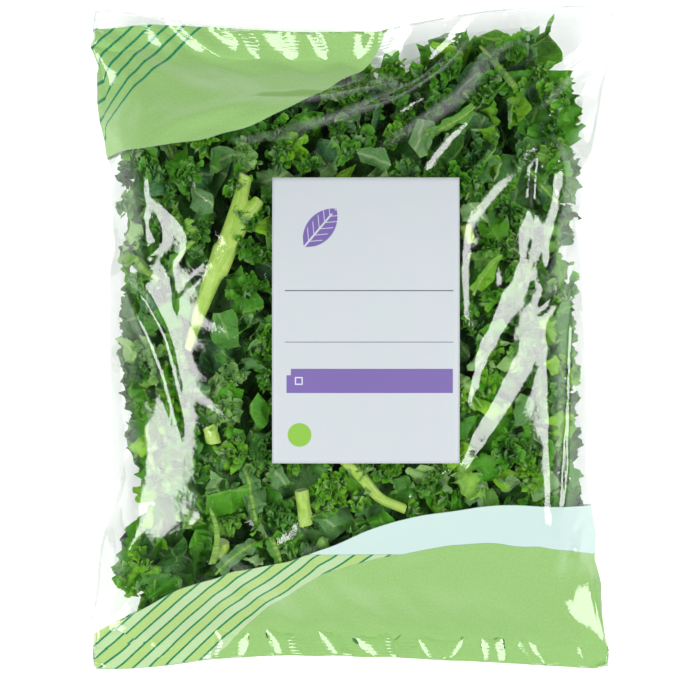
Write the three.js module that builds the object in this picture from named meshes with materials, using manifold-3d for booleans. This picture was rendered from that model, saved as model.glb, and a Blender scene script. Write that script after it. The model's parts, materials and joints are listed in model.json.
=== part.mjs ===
// A sealed, clear film pouch of cut curly kale, lying on its back with the printed front up.
// Millimetres, +Z up, +X to the right and +Y to the head seal as seen from the front.
// The origin is the bottom centre of the pouch's bounding box, on the surface that it lies on.
//
// film_pouch   one web of clear film, a tube flattened and sealed at both ends
// front_label  a thin opaque label stuck on the front
// leaf_*       cut pieces of curly leaf: those behind the front film, the inner ones, those on the back film
// stem_*       cut lengths of leaf stalk
import * as THREE from "three";
import { mergeVertices } from "three/addons/utils/BufferGeometryUtils.js";
import Module from "manifold-3d";

// ---------------------------------------------------------------- sizes
const FLAT_W = 237; // width of the empty pouch laid flat
const FLAT_H = 302; // length, seals included
const SEAL = 9; // depth of each end seal
const FILM_T = 0.3; // modelled wall
const LAYER_GAP = 0.45; // clear gap between the two layers in a seal
const FILL_VOL = 2.2e6; // mm3 held by the pouch
const NC = 40; // columns round the tube
const NR = 27; // rows along it
const BLOW_STEPS = 420;
const LEAF_T = 1.1;
const LABEL_T = 0.25;
const LABEL_GAP = 0.4;
const LABEL = { x0: -34.3, x1: 47.7, y0: -55.6, y1: 69.6 };

// outline of the filled pouch seen from the front: [x, y] at the left, right, head and foot edges
const PX = 0.445,
  CX = 351,
  CY = 336.5;
const mm = (p) => [(p[0] - CX) * PX, (CY - p[1]) * PX];
const LEFT = [[92, 673], [93.5, 663], [98, 619], [101, 581], [103, 552], [108, 495], [110, 437], [107, 389], [106, 310], [107, 287], [115, 262], [117, 249], [111, 220], [108, 191], [107, 157], [106, 120], [106, 95], [105, 78], [101, 66], [92, 54], [87, 44], [85, 28], [87, 5]].map(mm);
const RIGHT = [[612, 668], [608, 652], [598, 619], [591, 588], [591, 552], [592, 504], [589, 456], [588, 387], [586, 349], [581, 293], [578, 254], [578, 235], [580, 205], [585, 172], [591, 134], [598, 99], [608, 50], [616, 19], [613, 0]].map(mm);
const HEAD = [[87, 5], [127, 9], [150, 20], [175, 30], [232, 33], [300, 35], [370, 35], [394, 33], [413, 27], [440, 20], [474, 10], [512, 8], [550, 8], [575, 7], [589, 4], [613, 0]].map(mm);
const FOOT = [[92, 673], [123, 671], [142, 667], [175, 662], [213, 658], [270, 655.5], [340, 656], [397, 658], [474, 661], [531, 664], [612, 668]].map(mm);

// cut pieces of leaf: [name, x, y, depth, yaw in degrees, half length, half width, waves round the rim,
// their phase, camber, slope along x, slope along y]. Depth is measured down from the film's front, and
// for leaf_back_* up from its back. No two pieces touch.
const LEAVES = [
  ["leaf_front_01", -46, 101.4, 8.4, -11, 24, 18.8, 5, 0.3, -0.7, -0.15, 0.08],
  ["leaf_front_02", 5.7, 100.6, 6.3, -21, 22.1, 19.3, 6, 4.4, -1.5, -0.07, 0.06],
  ["leaf_front_03", 85.7, 100.6, 6.1, 101, 22.8, 19.7, 5, 3.2, -0.1, 0.03, -0.01],
  ["leaf_front_04", -27.5, 72.4, 12.1, 162, 24, 22, 5, 6.1, 1.6, -0.15, 0.22],
  ["leaf_front_05", 49.3, 99.8, 10, 103, 24, 21.3, 5, 5.9, -0.7, -0.06, 0.06],
  ["leaf_front_06", 54, 84, 6.6, 70, 17, 13, 4, 2, 1.2, 0, 0],
  ["leaf_front_07", -79.3, 46.7, 8.1, -171, 21, 19.2, 5, 1.4, -1.2, 0.01, 0.24],
  ["leaf_front_08", -21.1, 36.4, 10, 170, 24, 20.2, 5, 0.5, -0.3, -0.22, 0.08],
  ["leaf_front_09", 18, 56.1, 10, -36, 24, 22, 4, 2.7, -0.4, -0.24, -0.02],
  ["leaf_front_10", 55, 20.5, 6.4, 60, 17, 12, 4, 1, 1.4, 0, 0],
  ["leaf_front_11", 76.1, 56, 7.8, 85, 23.6, 20.9, 6, 0.6, -1.1, -0.01, 0.25],
  ["leaf_front_12", -88.7, 5.7, 8.7, 24, 19.8, 17.8, 4, 2.1, 1.2, -0.1, -0.15],
  ["leaf_front_13", -57, 10.7, 10.6, 99, 23.5, 19.2, 6, 4.3, 0.5, 0.24, -0.09],
  ["leaf_front_14", 18.4, 15.7, 10, 29, 24, 21.8, 6, 0.3, 0.8, -0.09, 0.3],
  ["leaf_front_15", 30.1, -19.4, 8.5, 16, 23, 18.8, 6, 0.8, 1.2, -0.21, 0.11],
  ["leaf_front_16", 80.1, -1.3, 9.9, -158, 24, 19.9, 5, 3.1, -0.3, -0.01, 0.03],
  ["leaf_front_17", -80.9, -47.7, 6.3, 53, 24, 22, 5, 1.8, -1.1, 0, -0.08],
  ["leaf_front_18", -10.4, -30, 5.9, 75, 24, 22, 4, 4.1, 0.4, -0.05, -0.09],
  ["leaf_front_19", 51.2, -36.8, 7.9, -89, 24, 21.9, 4, 3, -0.4, -0.07, 0.25],
  ["leaf_front_20", 83.9, -40, 8, 104, 24, 20.6, 6, 4.4, -0.4, -0.17, 0.12],
  ["leaf_front_21", -77, -99, 6.4, -28, 20, 12.5, 3, 0.4, 1.6, 0, 0],
  ["leaf_front_22", -62.3, -71.7, 9, 50, 18.7, 15.5, 5, 3.1, -1.4, -0.03, -0.28],
  ["leaf_front_23", -22.4, -74.7, 7.05, 18, 24, 22, 4, 1.4, -0.7, -0.1, 0.03],
  ["leaf_front_24", 15.6, -62.2, 10, 160, 24, 21.8, 6, 3.6, -1.3, 0.15, 0.23],
  ["leaf_front_25", 46.3, -78.1, 8.6, 58, 22.7, 16.1, 6, 2.2, 0.8, -0.22, 0.11],
  ["leaf_front_26", 83.6, -72.7, 8.3, 133, 24, 19.8, 5, 0.3, 1, -0.08, 0.18],
  ["leaf_front_27", -36.3, -104.7, 8.6, -168, 24, 18.6, 4, 4.3, 0.8, 0.07, -0.3],
  ["leaf_front_28", 15.3, -104.9, 7.6, 115, 24, 21.2, 4, 2.8, -0.7, 0.09, -0.1],
  ["leaf_front_29", 60.1, -104.1, 7.2, 51, 24, 21.7, 6, 4.8, 1.3, -0.07, 0.04],
  ["leaf_inner_01", -77.9, 79.2, 13.8, -30, 27, 23.3, 6, 6, 0.1, 0.01, -0.09],
  ["leaf_inner_02", -34.8, 79.8, 21.1, 4, 27, 22.2, 4, 5.6, -1.4, 0.26, 0.14],
  ["leaf_inner_03", 56.7, 99.5, 15.2, 179, 27, 24, 4, 2.4, -0.4, -0.05, 0.04],
  ["leaf_inner_04", -43.6, 36, 23.1, 124, 25.3, 17.1, 5, 0.8, 0.4, 0, 0.27],
  ["leaf_inner_05", 74.2, 39.8, 19.3, 30, 26.8, 20.2, 5, 0.1, -1.4, 0.18, -0.16],
  ["leaf_inner_06", -27.5, -3.2, 12.8, -40, 27, 23.5, 6, 5.2, 0, -0.03, -0.04],
  ["leaf_inner_07", 11.7, 11.8, 25.6, 127, 27, 24, 4, 5.1, -1.5, -0.3, 0.04],
  ["leaf_inner_08", 56.3, -9, 18.4, -169, 27, 23.5, 6, 2.6, 1.2, 0.1, -0.14],
  ["leaf_inner_09", 75.5, 18.6, 24.9, -147, 25.1, 17.9, 6, 3, -1.2, 0.2, 0.04],
  ["leaf_inner_10", -46.5, -38.4, 13.3, 145, 26.8, 24.3, 4, 4, -0.1, -0.04, 0.3],
  ["leaf_inner_11", -18.1, -105.9, 14, 161, 26.7, 20, 5, 4.5, -1.3, -0.05, -0.3],
  ["leaf_back_01", -70.9, 93.6, 7.2, 3, 29, 26.2, 5, 3, -1.2, 0.04, -0.2],
  ["leaf_back_02", -14.9, 90.2, 9, 90, 28.9, 26, 4, 5.9, 1.5, 0.02, -0.19],
  ["leaf_back_03", 40.2, 87.8, 8.2, 148, 29, 25.7, 6, 0.4, -0.2, 0.12, -0.14],
  ["leaf_back_04", -71.2, 42.3, 9, -10, 29, 26.5, 5, 4.3, 0.7, 0.15, 0.12],
  ["leaf_back_05", 52.6, 37.3, 9, 170, 29, 26, 4, 4.3, 1.4, 0.2, -0.04],
  ["leaf_back_06", -9.3, 15.7, 9, 58, 29, 26.6, 5, 5.2, 1.6, 0.22, 0.02],
  ["leaf_back_07", 68.2, -16.4, 8.8, 162, 28.8, 26.4, 4, 3.5, -1.4, -0.15, 0.02],
  ["leaf_back_08", -78.6, -22.6, 9, 35, 29, 25.8, 4, 3.9, 1.5, 0.01, -0.22],
  ["leaf_back_09", -74.2, -94.8, 6.6, 127, 29, 26.6, 6, 3.6, -1.5, -0.04, 0.06],
  ["leaf_back_10", -9, -68.7, 7.9, 128, 29, 26.3, 6, 2.5, 0.8, -0.07, -0.14],
  ["leaf_back_11", 48, -62.8, 8.3, 160, 29, 26.4, 6, 4.9, 1.5, 0.1, -0.1],
  ["leaf_back_12", 80.3, -100.9, 5.6, 101, 27.9, 22.7, 6, 4.1, 1.2, -0.08, 0.12],
];
// stalks: [name, depth of the axis, start width, end width, path of [x, y] in mm]
const STEMS = [
  ["stem_long_curved", 5.2, 5.2, 4.2, [[-3.5, -53.5], [5, -62], [13, -71], [24, -76]]],
  ["stem_chunk_1", 3.6, 5.8, 6.6, [[-62, -39.5], [-60, -46.5]]],
  ["stem_chunk_2", 6.0, 6.4, 7.2, [[-56.5, -90.5], [-57.5, -97.5]]],
  ["stem_chunk_3", 3.55, 6.0, 6.2, [[-21.5, -67.5], [-19.6, -83]]],
  ["stem_chunk_4", 6.0, 5.2, 5.6, [[53, 41], [50, 49]]],
];
const FORKED = { name: "stem_forked", depth: 4.85, main: [[-71.5, -6], [-64.5, 15], [-57, 33.5], [-50, 51]], w0: 5.4, w1: 11.4, branches: [[[-51.5, 45], [-48.5, 58], [-46, 71]], [[-50, 45], [-44.5, 54], [-40, 60]]], bw: 6.4 };

// ---------------------------------------------------------------- the blown pouch
function along(table, key, val, t) {
  const s = [...table].sort((a, b) => a[key] - b[key]);
  if (t <= s[0][key]) return s[0][val];
  for (let i = 1; i < s.length; i++)
    if (t <= s[i][key]) {
      const f = (t - s[i - 1][key]) / (s[i][key] - s[i - 1][key]);
      return s[i - 1][val] * (1 - f) + s[i][val] * f;
    }
  return s[s.length - 1][val];
}

const ss = (x) => ((x = Math.min(1, Math.max(0, x))), x * x * (3 - 2 * x));

// An inextensible tube of the flat size, sealed at both ends, filled to FILL_VOL and laid on a surface.
function blow() {
  const n = NC / 2,
    du = (2 * FLAT_W) / NC,
    dv = FLAT_H / (NR - 1),
    diag = Math.hypot(du, dv);
  const id = (j, i) => j * NC + ((i + NC) % NC);
  const P = [],
    V = [];
  for (let j = 0; j < NR; j++)
    for (let i = 0; i < NC; i++) {
      const u = i <= n ? i / n : 2 - i / n,
        v = j / (NR - 1);
      const side = i > 0 && i < n ? 1 : i > n ? -1 : 0;
      P.push([(u - 0.5) * FLAT_W, (v - 0.5) * FLAT_H, 14 + side * 8 * Math.pow(Math.sin(Math.PI * u), 0.6) * Math.sqrt(Math.sin(Math.PI * v) + 1e-12)]);
      V.push([0, 0, 0]);
    }
  const sealRows = Math.round(SEAL / dv) + 1;
  const link = (a, b, rest, k) => {
    const A = P[a],
      B = P[b];
    const dx = B[0] - A[0],
      dy = B[1] - A[1],
      dz = B[2] - A[2];
    const L = Math.sqrt(dx * dx + dy * dy + dz * dz) + 1e-9,
      c = ((L - rest) / L) * k;
    A[0] += dx * c; A[1] += dy * c; A[2] += dz * c;
    B[0] -= dx * c; B[1] -= dy * c; B[2] -= dz * c;
  };
  for (let it = 0; it < BLOW_STEPS; it++) {
    // volume and normals
    let vol = 0;
    for (let j = 0; j + 1 < NR; j++)
      for (let i = 0; i < NC; i++) {
        const a = P[id(j, i)], b = P[id(j, i + 1)], c = P[id(j + 1, i + 1)], d = P[id(j + 1, i)];
        const t = (p, q, r) => p[0] * (q[1] * r[2] - q[2] * r[1]) + p[1] * (q[2] * r[0] - q[0] * r[2]) + p[2] * (q[0] * r[1] - q[1] * r[0]);
        vol += t(a, b, c) + t(a, c, d);
      }
    vol /= 6;
    const push = 0.5 * Math.min(1, Math.max(-0.5, ((FILL_VOL - vol) / FILL_VOL) * 6));
    const N = [];
    for (let j = 0; j < NR; j++)
      for (let i = 0; i < NC; i++) {
        const a = P[id(j, i + 1)], b = P[id(j, i - 1)], c = P[id(Math.min(j + 1, NR - 1), i)], d = P[id(Math.max(j - 1, 0), i)];
        const u = [a[0] - b[0], a[1] - b[1], a[2] - b[2]], v = [c[0] - d[0], c[1] - d[1], c[2] - d[2]];
        const q = [u[1] * v[2] - u[2] * v[1], u[2] * v[0] - u[0] * v[2], u[0] * v[1] - u[1] * v[0]];
        const l = Math.hypot(q[0], q[1], q[2]) + 1e-9;
        N.push([q[0] / l, q[1] / l, q[2] / l]);
      }
    const old = P.map((p) => [p[0], p[1], p[2]]);
    for (let k = 0; k < P.length; k++) {
      const j = Math.floor(k / NC), i = k % NC;
      const uneven = 1 + 0.35 * Math.sin(0.9 * i + 0.55 * j) * Math.sin(0.47 * j - 0.31 * i + 1.3);
      const q = push * uneven, v = V[k], m = N[k];
      const f = [m[0] * q, m[1] * q, m[2] * q - 0.03 * Math.max(0, -m[2]) - 0.003];
      for (let x = 0; x < 3; x++) v[x] = (v[x] + f[x]) * 0.9;
      const l = Math.hypot(v[0], v[1], v[2]) + 1e-9, s = Math.min(1, (0.35 * du) / l);
      for (let x = 0; x < 3; x++) P[k][x] += v[x] * s;
    }
    for (let sub = 0; sub < 3; sub++) {
      for (let j = 0; j < NR; j++) for (let i = 0; i < NC; i += 2) link(id(j, i), id(j, i + 1), du, 0.5);
      for (let j = 0; j < NR; j++) for (let i = 1; i < NC; i += 2) link(id(j, i), id(j, i + 1), du, 0.5);
      for (const s of [0, 1]) for (let j = s; j + 1 < NR; j += 2) for (let i = 0; i < NC; i++) link(id(j, i), id(j + 1, i), dv, 0.5);
      for (const s of [0, 1])
        for (const way of [1, -1])
          for (let j = s; j + 1 < NR; j += 2) for (let i = 0; i < NC; i++) link(id(j, i), id(j + 1, i + way), diag, 0.4);
      for (const s of [0, 2])
        for (let j = 0; j < NR; j++) for (let i = 0; i < NC; i++) if (i % 4 === s || i % 4 === s + 1) link(id(j, i), id(j, i + 2), 2 * du, 0.04);
      for (const s of [0, 2])
        for (let j = 0; j + 2 < NR; j++) if (j % 4 === s || j % 4 === s + 1) for (let i = 0; i < NC; i++) link(id(j, i), id(j + 2, i), 2 * dv, 0.04);
      for (let j = 0; j < NR; j++)
        for (let i = 1; i < n; i++) {
          const f = P[id(j, i)], b = P[id(j, NC - i)];
          if (j < sealRows || j >= NR - sealRows) for (let x = 0; x < 3; x++) f[x] = b[x] = (f[x] + b[x]) / 2;
          else if (f[2] < b[2]) f[2] = b[2] = (f[2] + b[2]) / 2;
        }
      for (const p of P) if (p[2] < 0) p[2] = 0;
    }
    for (let k = 0; k < P.length; k++) for (let x = 0; x < 3; x++) V[k][x] = P[k][x] - old[k][x];
  }
  // the outline of this pouch, with its uneven seals and drawn-in sides
  const v0 = P.map((p) => [...p]);
  for (let j = 0; j < NR; j++)
    for (let i = 0; i < NC; i++) {
      const p = P[id(j, i)],
        l = v0[id(j, 0)],
        r = v0[id(j, n)],
        t = j / (NR - 1);
      const foot = v0[id(0, i)],
        head = v0[id(NR - 1, i)];
      const a = Math.min(1, Math.max(0, (p[0] - l[0]) / (r[0] - l[0])));
      p[1] += (along(FOOT, 0, 1, foot[0]) - foot[1]) * ss((0.22 - t) / 0.22) + (along(HEAD, 0, 1, head[0]) - head[1]) * ss((t - 0.78) / 0.22);
      p[0] += (along(LEFT, 1, 0, p[1]) - l[0]) * (1 - a) + (along(RIGHT, 1, 0, p[1]) - r[0]) * a;
    }
  // the ends come out flat across: the film's spare width there is fine crimping, too small for this wall
  for (let pass = 0; pass < 10; pass++) {
    const Q = P.map((p) => [...p]);
    for (let j = 0; j < NR; j++)
      for (let i = 0; i < NC; i++) {
        const end = ss((5.5 - Math.min(j, NR - 1 - j)) / 4.5),
          c = Math.min(i % n, n - (i % n)),
          corner = ss((7.5 - Math.min(j, NR - 1 - j)) / 5) * ss((4.5 - c) / 3);
        const q = Q[id(j, i)], a = Q[id(j, i - 1)], b = Q[id(j, i + 1)];
        P[id(j, i)][2] += 0.5 * end * ((a[2] + b[2]) / 2 - q[2]);
        if (j > 0 && j < NR - 1 && corner > 0)
          for (let x = c ? 0 : 1; x < 3; x++) {
            const v = (Q[id(j - 1, i)][x] + Q[id(j + 1, i)][x]) / 4 + (a[x] + b[x]) / 4;
            P[id(j, i)][x] += 0.45 * corner * (v - q[x]);
          }
      }
  }
  // keep the two layers apart
  for (let j = 0; j < NR; j++) {
    const sealed = j < sealRows || j >= NR - sealRows;
    for (let i = 1; i < n; i++) {
      const f = P[id(j, i)],
        b = P[id(j, NC - i)],
        need = FILM_T + LAYER_GAP,
        have = f[2] - b[2];
      if (sealed) for (let x = 0; x < 2; x++) f[x] = b[x] = (f[x] + b[x]) / 2;
      if (sealed || have < need) {
        const m = (f[2] + b[2]) / 2;
        f[2] = m + need / 2;
        b[2] = m - need / 2;
      }
    }
  }
  let low = Infinity;
  for (const p of P) low = Math.min(low, p[2]);
  for (const p of P) p[2] = p[2] - low + FILM_T / 2;
  return { P, id, n };
}

const { P, id, n } = blow();
const box = new THREE.Box3().setFromPoints(P.map((p) => new THREE.Vector3(...p)));
const mid = box.getCenter(new THREE.Vector3());
for (const p of P) {
  p[0] -= mid.x;
  p[1] -= mid.y;
}

// wall surface: the front or the back of the film at a place, on its facets
function wall(x, y, front) {
  for (let j = 0; j + 1 < NR; j++)
    for (let c = 0; c < n; c++) {
      const i = front ? c : NC - c - 1;
      const q = [P[id(j, i)], P[id(j, i + 1)], P[id(j + 1, i + 1)], P[id(j + 1, i)]];
      for (const [a, b, d] of [[q[0], q[1], q[2]], [q[0], q[2], q[3]]]) {
        const den = (b[1] - d[1]) * (a[0] - d[0]) + (d[0] - b[0]) * (a[1] - d[1]);
        const s = ((b[1] - d[1]) * (x - d[0]) + (d[0] - b[0]) * (y - d[1])) / den,
          t = ((d[1] - a[1]) * (x - d[0]) + (a[0] - d[0]) * (y - d[1])) / den;
        if (s >= -1e-6 && t >= -1e-6 && s + t <= 1 + 1e-6) return s * a[2] + t * b[2] + (1 - s - t) * d[2];
      }
    }
  return NaN;
}

// ---------------------------------------------------------------- closed solids
function closed(points, faces) {
  const g = new THREE.BufferGeometry();
  g.setAttribute("position", new THREE.Float32BufferAttribute(points.flat(), 3));
  g.setIndex(faces.flat());
  g.computeVertexNormals();
  return g;
}

function filmGeometry() {
  const pts = [], faces = [];
  const N = [];
  for (let j = 0; j < NR; j++)
    for (let i = 0; i < NC; i++) {
      const a = new THREE.Vector3(...P[id(j, i + 1)]).sub(new THREE.Vector3(...P[id(j, i - 1)]));
      const b = new THREE.Vector3(...P[id(Math.min(j + 1, NR - 1), i)]).sub(new THREE.Vector3(...P[id(Math.max(j - 1, 0), i)]));
      const m = a.cross(b).normalize();
      if (i % n === 0) m.set(i === 0 ? -1 : 1, 0, 0);
      N.push(m);
    }
  const low = FILM_T / 2 + 0.02;
  for (const s of [1, -1])
    for (let k = 0; k < P.length; k++) {
      const m = N[k].clone();
      if (P[k][2] < low && k % NC > n) m.set(0, 0, -1);
      const q = [P[k][0] + (s * m.x * FILM_T) / 2, P[k][1] + (s * m.y * FILM_T) / 2, P[k][2] + (s * m.z * FILM_T) / 2];
      if (s === 1) q[2] = Math.max(0, q[2]);
      if (P[k][2] < low && k % NC > n && s === 1) q[2] = 0;
      pts.push(q);
    }
  const M = P.length;
  for (let j = 0; j + 1 < NR; j++)
    for (let i = 0; i < NC; i++) {
      const a = id(j, i), b = id(j, i + 1), c = id(j + 1, i + 1), d = id(j + 1, i);
      faces.push([a, b, c], [a, c, d], [M + a, M + c, M + b], [M + a, M + d, M + c]);
    }
  for (let i = 0; i < NC; i++) {
    const a = id(0, i), b = id(0, i + 1), c = id(NR - 1, i), d = id(NR - 1, i + 1);
    faces.push([a, M + a, b], [b, M + a, M + b], [c, d, M + c], [d, M + d, M + c]);
  }
  return closed(pts, faces);
}

// A leaf piece: a thin disc of rings, waved at its rim, that follows the wall at its depth.
function leafGeometry([name, x0, y0, depth, yaw, L, W, waves, phase, camber, sx, sy]) {
  const front = !name.startsWith("leaf_back");
  const SEG = 14, RINGS = [0.5, 0.84, 1];
  const c = Math.cos((yaw * Math.PI) / 180), s = Math.sin((yaw * Math.PI) / 180);
  const put = (r, th) => {
    const lobe = 1 + 0.07 * Math.sin(3 * th + phase) * r + 0.05 * Math.sin(5 * th - phase) * r;
    const a = L * r * lobe * Math.cos(th), b = W * r * lobe * Math.sin(th);
    const x = x0 + a * c - b * s, y = y0 + a * s + b * c;
    const h = 2.1 * Math.pow(r, 3) * Math.sin(waves * th + phase) + camber * (1 - 2 * ((b / W) * (b / W))) + sx * (x - x0) + sy * (y - y0);
    const w = wall(x, y, front);
    return [x, y, front ? w - depth + h : w + depth + h];
  };
  const pts = [], faces = [];
  for (const t of [1, -1]) {
    const base = pts.length, p = put(0, 0);
    pts.push([p[0], p[1], p[2] + (t * LEAF_T) / 2]);
    for (const r of RINGS)
      for (let k = 0; k < SEG; k++) {
        const q = put(r, (2 * Math.PI * k) / SEG);
        pts.push([q[0], q[1], q[2] + (t * LEAF_T) / 2]);
      }
    const at = (g, k) => base + 1 + g * SEG + (k % SEG);
    const add = (i, j, k) => faces.push(t > 0 ? [i, j, k] : [i, k, j]);
    for (let k = 0; k < SEG; k++) {
      add(base, at(0, k), at(0, k + 1));
      for (let g = 0; g + 1 < RINGS.length; g++) {
        add(at(g, k), at(g + 1, k), at(g + 1, k + 1));
        add(at(g, k), at(g + 1, k + 1), at(g, k + 1));
      }
    }
  }
  const half = pts.length / 2, rim = 1 + (RINGS.length - 1) * SEG;
  for (let k = 0; k < SEG; k++) {
    const a = rim + k, b = rim + ((k + 1) % SEG);
    faces.push([a, half + a, b], [b, half + a, half + b]);
  }
  return closed(pts, faces);
}

// A stalk: a swept oval with a shallow groove, from one width to another.
function stemGeometry(path, depth, w0, w1, steps) {
  const pts = path.map(([x, y]) => new THREE.Vector3(x, y, wall(x, y, true) - depth));
  const curve = new THREE.CatmullRomCurve3(pts);
  const SIDES = 8, flat = 0.78, shape = new THREE.Shape();
  for (let k = 0; k < SIDES; k++) {
    const th = (2 * Math.PI * (k + 0.5)) / SIDES;
    const x = 0.5 * flat * Math.sin(th), y = 0.5 * Math.cos(th);
    k ? shape.lineTo(x, y) : shape.moveTo(x, y);
  }
  const g = new THREE.ExtrudeGeometry(shape, { steps, bevelEnabled: false, extrudePath: curve });
  // each cross-section is scaled about the curve by the width there
  const p = g.getAttribute("position"), m = [];
  for (let k = 0; k <= 200; k++) m.push(curve.getPointAt(k / 200));
  for (let k = 0; k < p.count; k++) {
    const q = new THREE.Vector3().fromBufferAttribute(p, k);
    let best = 0, bd = Infinity;
    m.forEach((o, i) => { const d = o.distanceToSquared(q); if (d < bd) { bd = d; best = i; } });
    const f = Math.round((best / 200) * steps) / steps, o = curve.getPointAt(f);
    q.sub(o).multiplyScalar(w0 + (w1 - w0) * f).add(o);
    p.setXYZ(k, q.x, q.y, q.z);
  }
  return g;
}

const wasm = await Module();
wasm.setup();
function solid(g) {
  const bare = g.index ? g.toNonIndexed() : g.clone();
  bare.deleteAttribute("normal");
  bare.deleteAttribute("uv");
  const m = mergeVertices(bare, 1e-4);
  return new wasm.Manifold(new wasm.Mesh({ numProp: 3, vertProperties: m.attributes.position.array, triVerts: new Uint32Array(m.index.array) }));
}
function fromSolid(s) {
  const m = s.getMesh(), g = new THREE.BufferGeometry();
  g.setAttribute("position", new THREE.BufferAttribute(new Float32Array(m.vertProperties), 3));
  g.setIndex(new THREE.BufferAttribute(new Uint32Array(m.triVerts), 1));
  g.computeVertexNormals();
  return g;
}

function labelGeometry() {
  const NX = 7, NY = 11, pts = [], faces = [];
  const { x0, x1, y0, y1 } = LABEL;
  for (const t of [1, 0])
    for (let j = 0; j <= NY; j++)
      for (let i = 0; i <= NX; i++) {
        const x = x0 + ((x1 - x0) * i) / NX, y = y0 + ((y1 - y0) * j) / NY;
        pts.push([x, y, wall(x, y, true) + FILM_T / 2 + LABEL_GAP + t * LABEL_T]);
      }
  const at = (t, j, i) => t * (NX + 1) * (NY + 1) + j * (NX + 1) + i;
  for (let j = 0; j < NY; j++)
    for (let i = 0; i < NX; i++) {
      faces.push([at(0, j, i), at(0, j, i + 1), at(0, j + 1, i + 1)], [at(0, j, i), at(0, j + 1, i + 1), at(0, j + 1, i)]);
      faces.push([at(1, j, i), at(1, j + 1, i + 1), at(1, j, i + 1)], [at(1, j, i), at(1, j + 1, i), at(1, j + 1, i + 1)]);
    }
  const rim = [];
  for (let i = 0; i < NX; i++) rim.push([0, i]);
  for (let j = 0; j < NY; j++) rim.push([j, NX]);
  for (let i = NX; i > 0; i--) rim.push([NY, i]);
  for (let j = NY; j > 0; j--) rim.push([j, 0]);
  rim.forEach(([j, i], k) => {
    const [J, I] = rim[(k + 1) % rim.length];
    faces.push([at(0, j, i), at(1, j, i), at(0, J, I)], [at(0, J, I), at(1, j, i), at(1, J, I)]);
  });
  return closed(pts, faces);
}

// ---------------------------------------------------------------- the object
const filmMat = new THREE.MeshStandardMaterial({ color: 0xe4ece6, roughness: 0.12, metalness: 0, transparent: true, opacity: 0.35 });
const labelMat = new THREE.MeshStandardMaterial({ color: 0xd7dfe1, roughness: 0.6, metalness: 0 });
const stemMat = new THREE.MeshStandardMaterial({ color: 0xa9c95e, roughness: 0.5, metalness: 0 });
const leafMats = [0x2f6b2c, 0x3f7f38, 0x24552b].map((c) => new THREE.MeshStandardMaterial({ color: c, roughness: 0.55, metalness: 0 }));

const bag = new THREE.Group();
bag.name = "bag_of_cut_kale";
const add = (name, geometry, material) => {
  const m = new THREE.Mesh(geometry, material);
  m.name = name;
  bag.add(m);
};
add("film_pouch", filmGeometry(), filmMat);
add("front_label", labelGeometry(), labelMat);
LEAVES.forEach((leaf, i) => add(leaf[0], leafGeometry(leaf), leafMats[i % 3]));
for (const [name, d, w0, w1, path] of STEMS) add(name, stemGeometry(path, d, w0, w1, path.length > 2 ? 7 : 2), stemMat);
{
  let s = solid(stemGeometry(FORKED.main, FORKED.depth, FORKED.w0, FORKED.w1, 8));
  for (const b of FORKED.branches) s = s.add(solid(stemGeometry(b, FORKED.depth - 0.6, FORKED.bw, FORKED.bw * 0.95, 4)));
  add(FORKED.name, fromSolid(s), stemMat);
}

export default bag;
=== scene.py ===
# A sealed, clear pillow bag of cut curly kale, lying on its back, seen from above.
# Lengths in the making of the shapes are millimetres; each mesh is scaled to metres when it is made.
import json
import math

import bpy
import numpy as np
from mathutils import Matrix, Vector
from mathutils.bvhtree import BVHTree

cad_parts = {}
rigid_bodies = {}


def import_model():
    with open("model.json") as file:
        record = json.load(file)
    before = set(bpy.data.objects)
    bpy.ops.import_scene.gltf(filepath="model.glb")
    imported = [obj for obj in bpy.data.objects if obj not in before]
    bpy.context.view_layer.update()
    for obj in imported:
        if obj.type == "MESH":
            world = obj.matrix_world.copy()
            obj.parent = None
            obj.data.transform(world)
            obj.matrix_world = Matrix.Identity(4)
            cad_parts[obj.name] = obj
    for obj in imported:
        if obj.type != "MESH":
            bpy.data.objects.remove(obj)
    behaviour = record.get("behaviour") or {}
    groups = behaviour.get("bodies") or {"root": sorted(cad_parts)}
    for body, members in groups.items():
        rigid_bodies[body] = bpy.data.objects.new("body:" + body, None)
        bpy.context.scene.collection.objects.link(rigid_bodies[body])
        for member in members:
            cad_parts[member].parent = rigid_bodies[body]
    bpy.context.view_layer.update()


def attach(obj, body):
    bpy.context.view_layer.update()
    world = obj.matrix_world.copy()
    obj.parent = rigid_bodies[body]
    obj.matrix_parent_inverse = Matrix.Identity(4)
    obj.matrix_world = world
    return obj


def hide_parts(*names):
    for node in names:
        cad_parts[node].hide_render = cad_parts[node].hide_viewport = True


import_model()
MM = 0.001

# ---------------------------------------------------------------- the pouch's film, blown up from a flat tube and crinkled
FLAT_W, FLAT_H, SEAL = 237.0, 302.0, 9.0
FILM_T, LAYER_GAP, FILL_VOL = 0.3, 0.45, 2.2e6
NC, NR, BLOW_STEPS = 40, 27, 420


def outline(points, px=0.445, cx=351.0, cy=336.5):
    return np.array([[(x - cx) * px, (cy - y) * px] for x, y in points])


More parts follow.
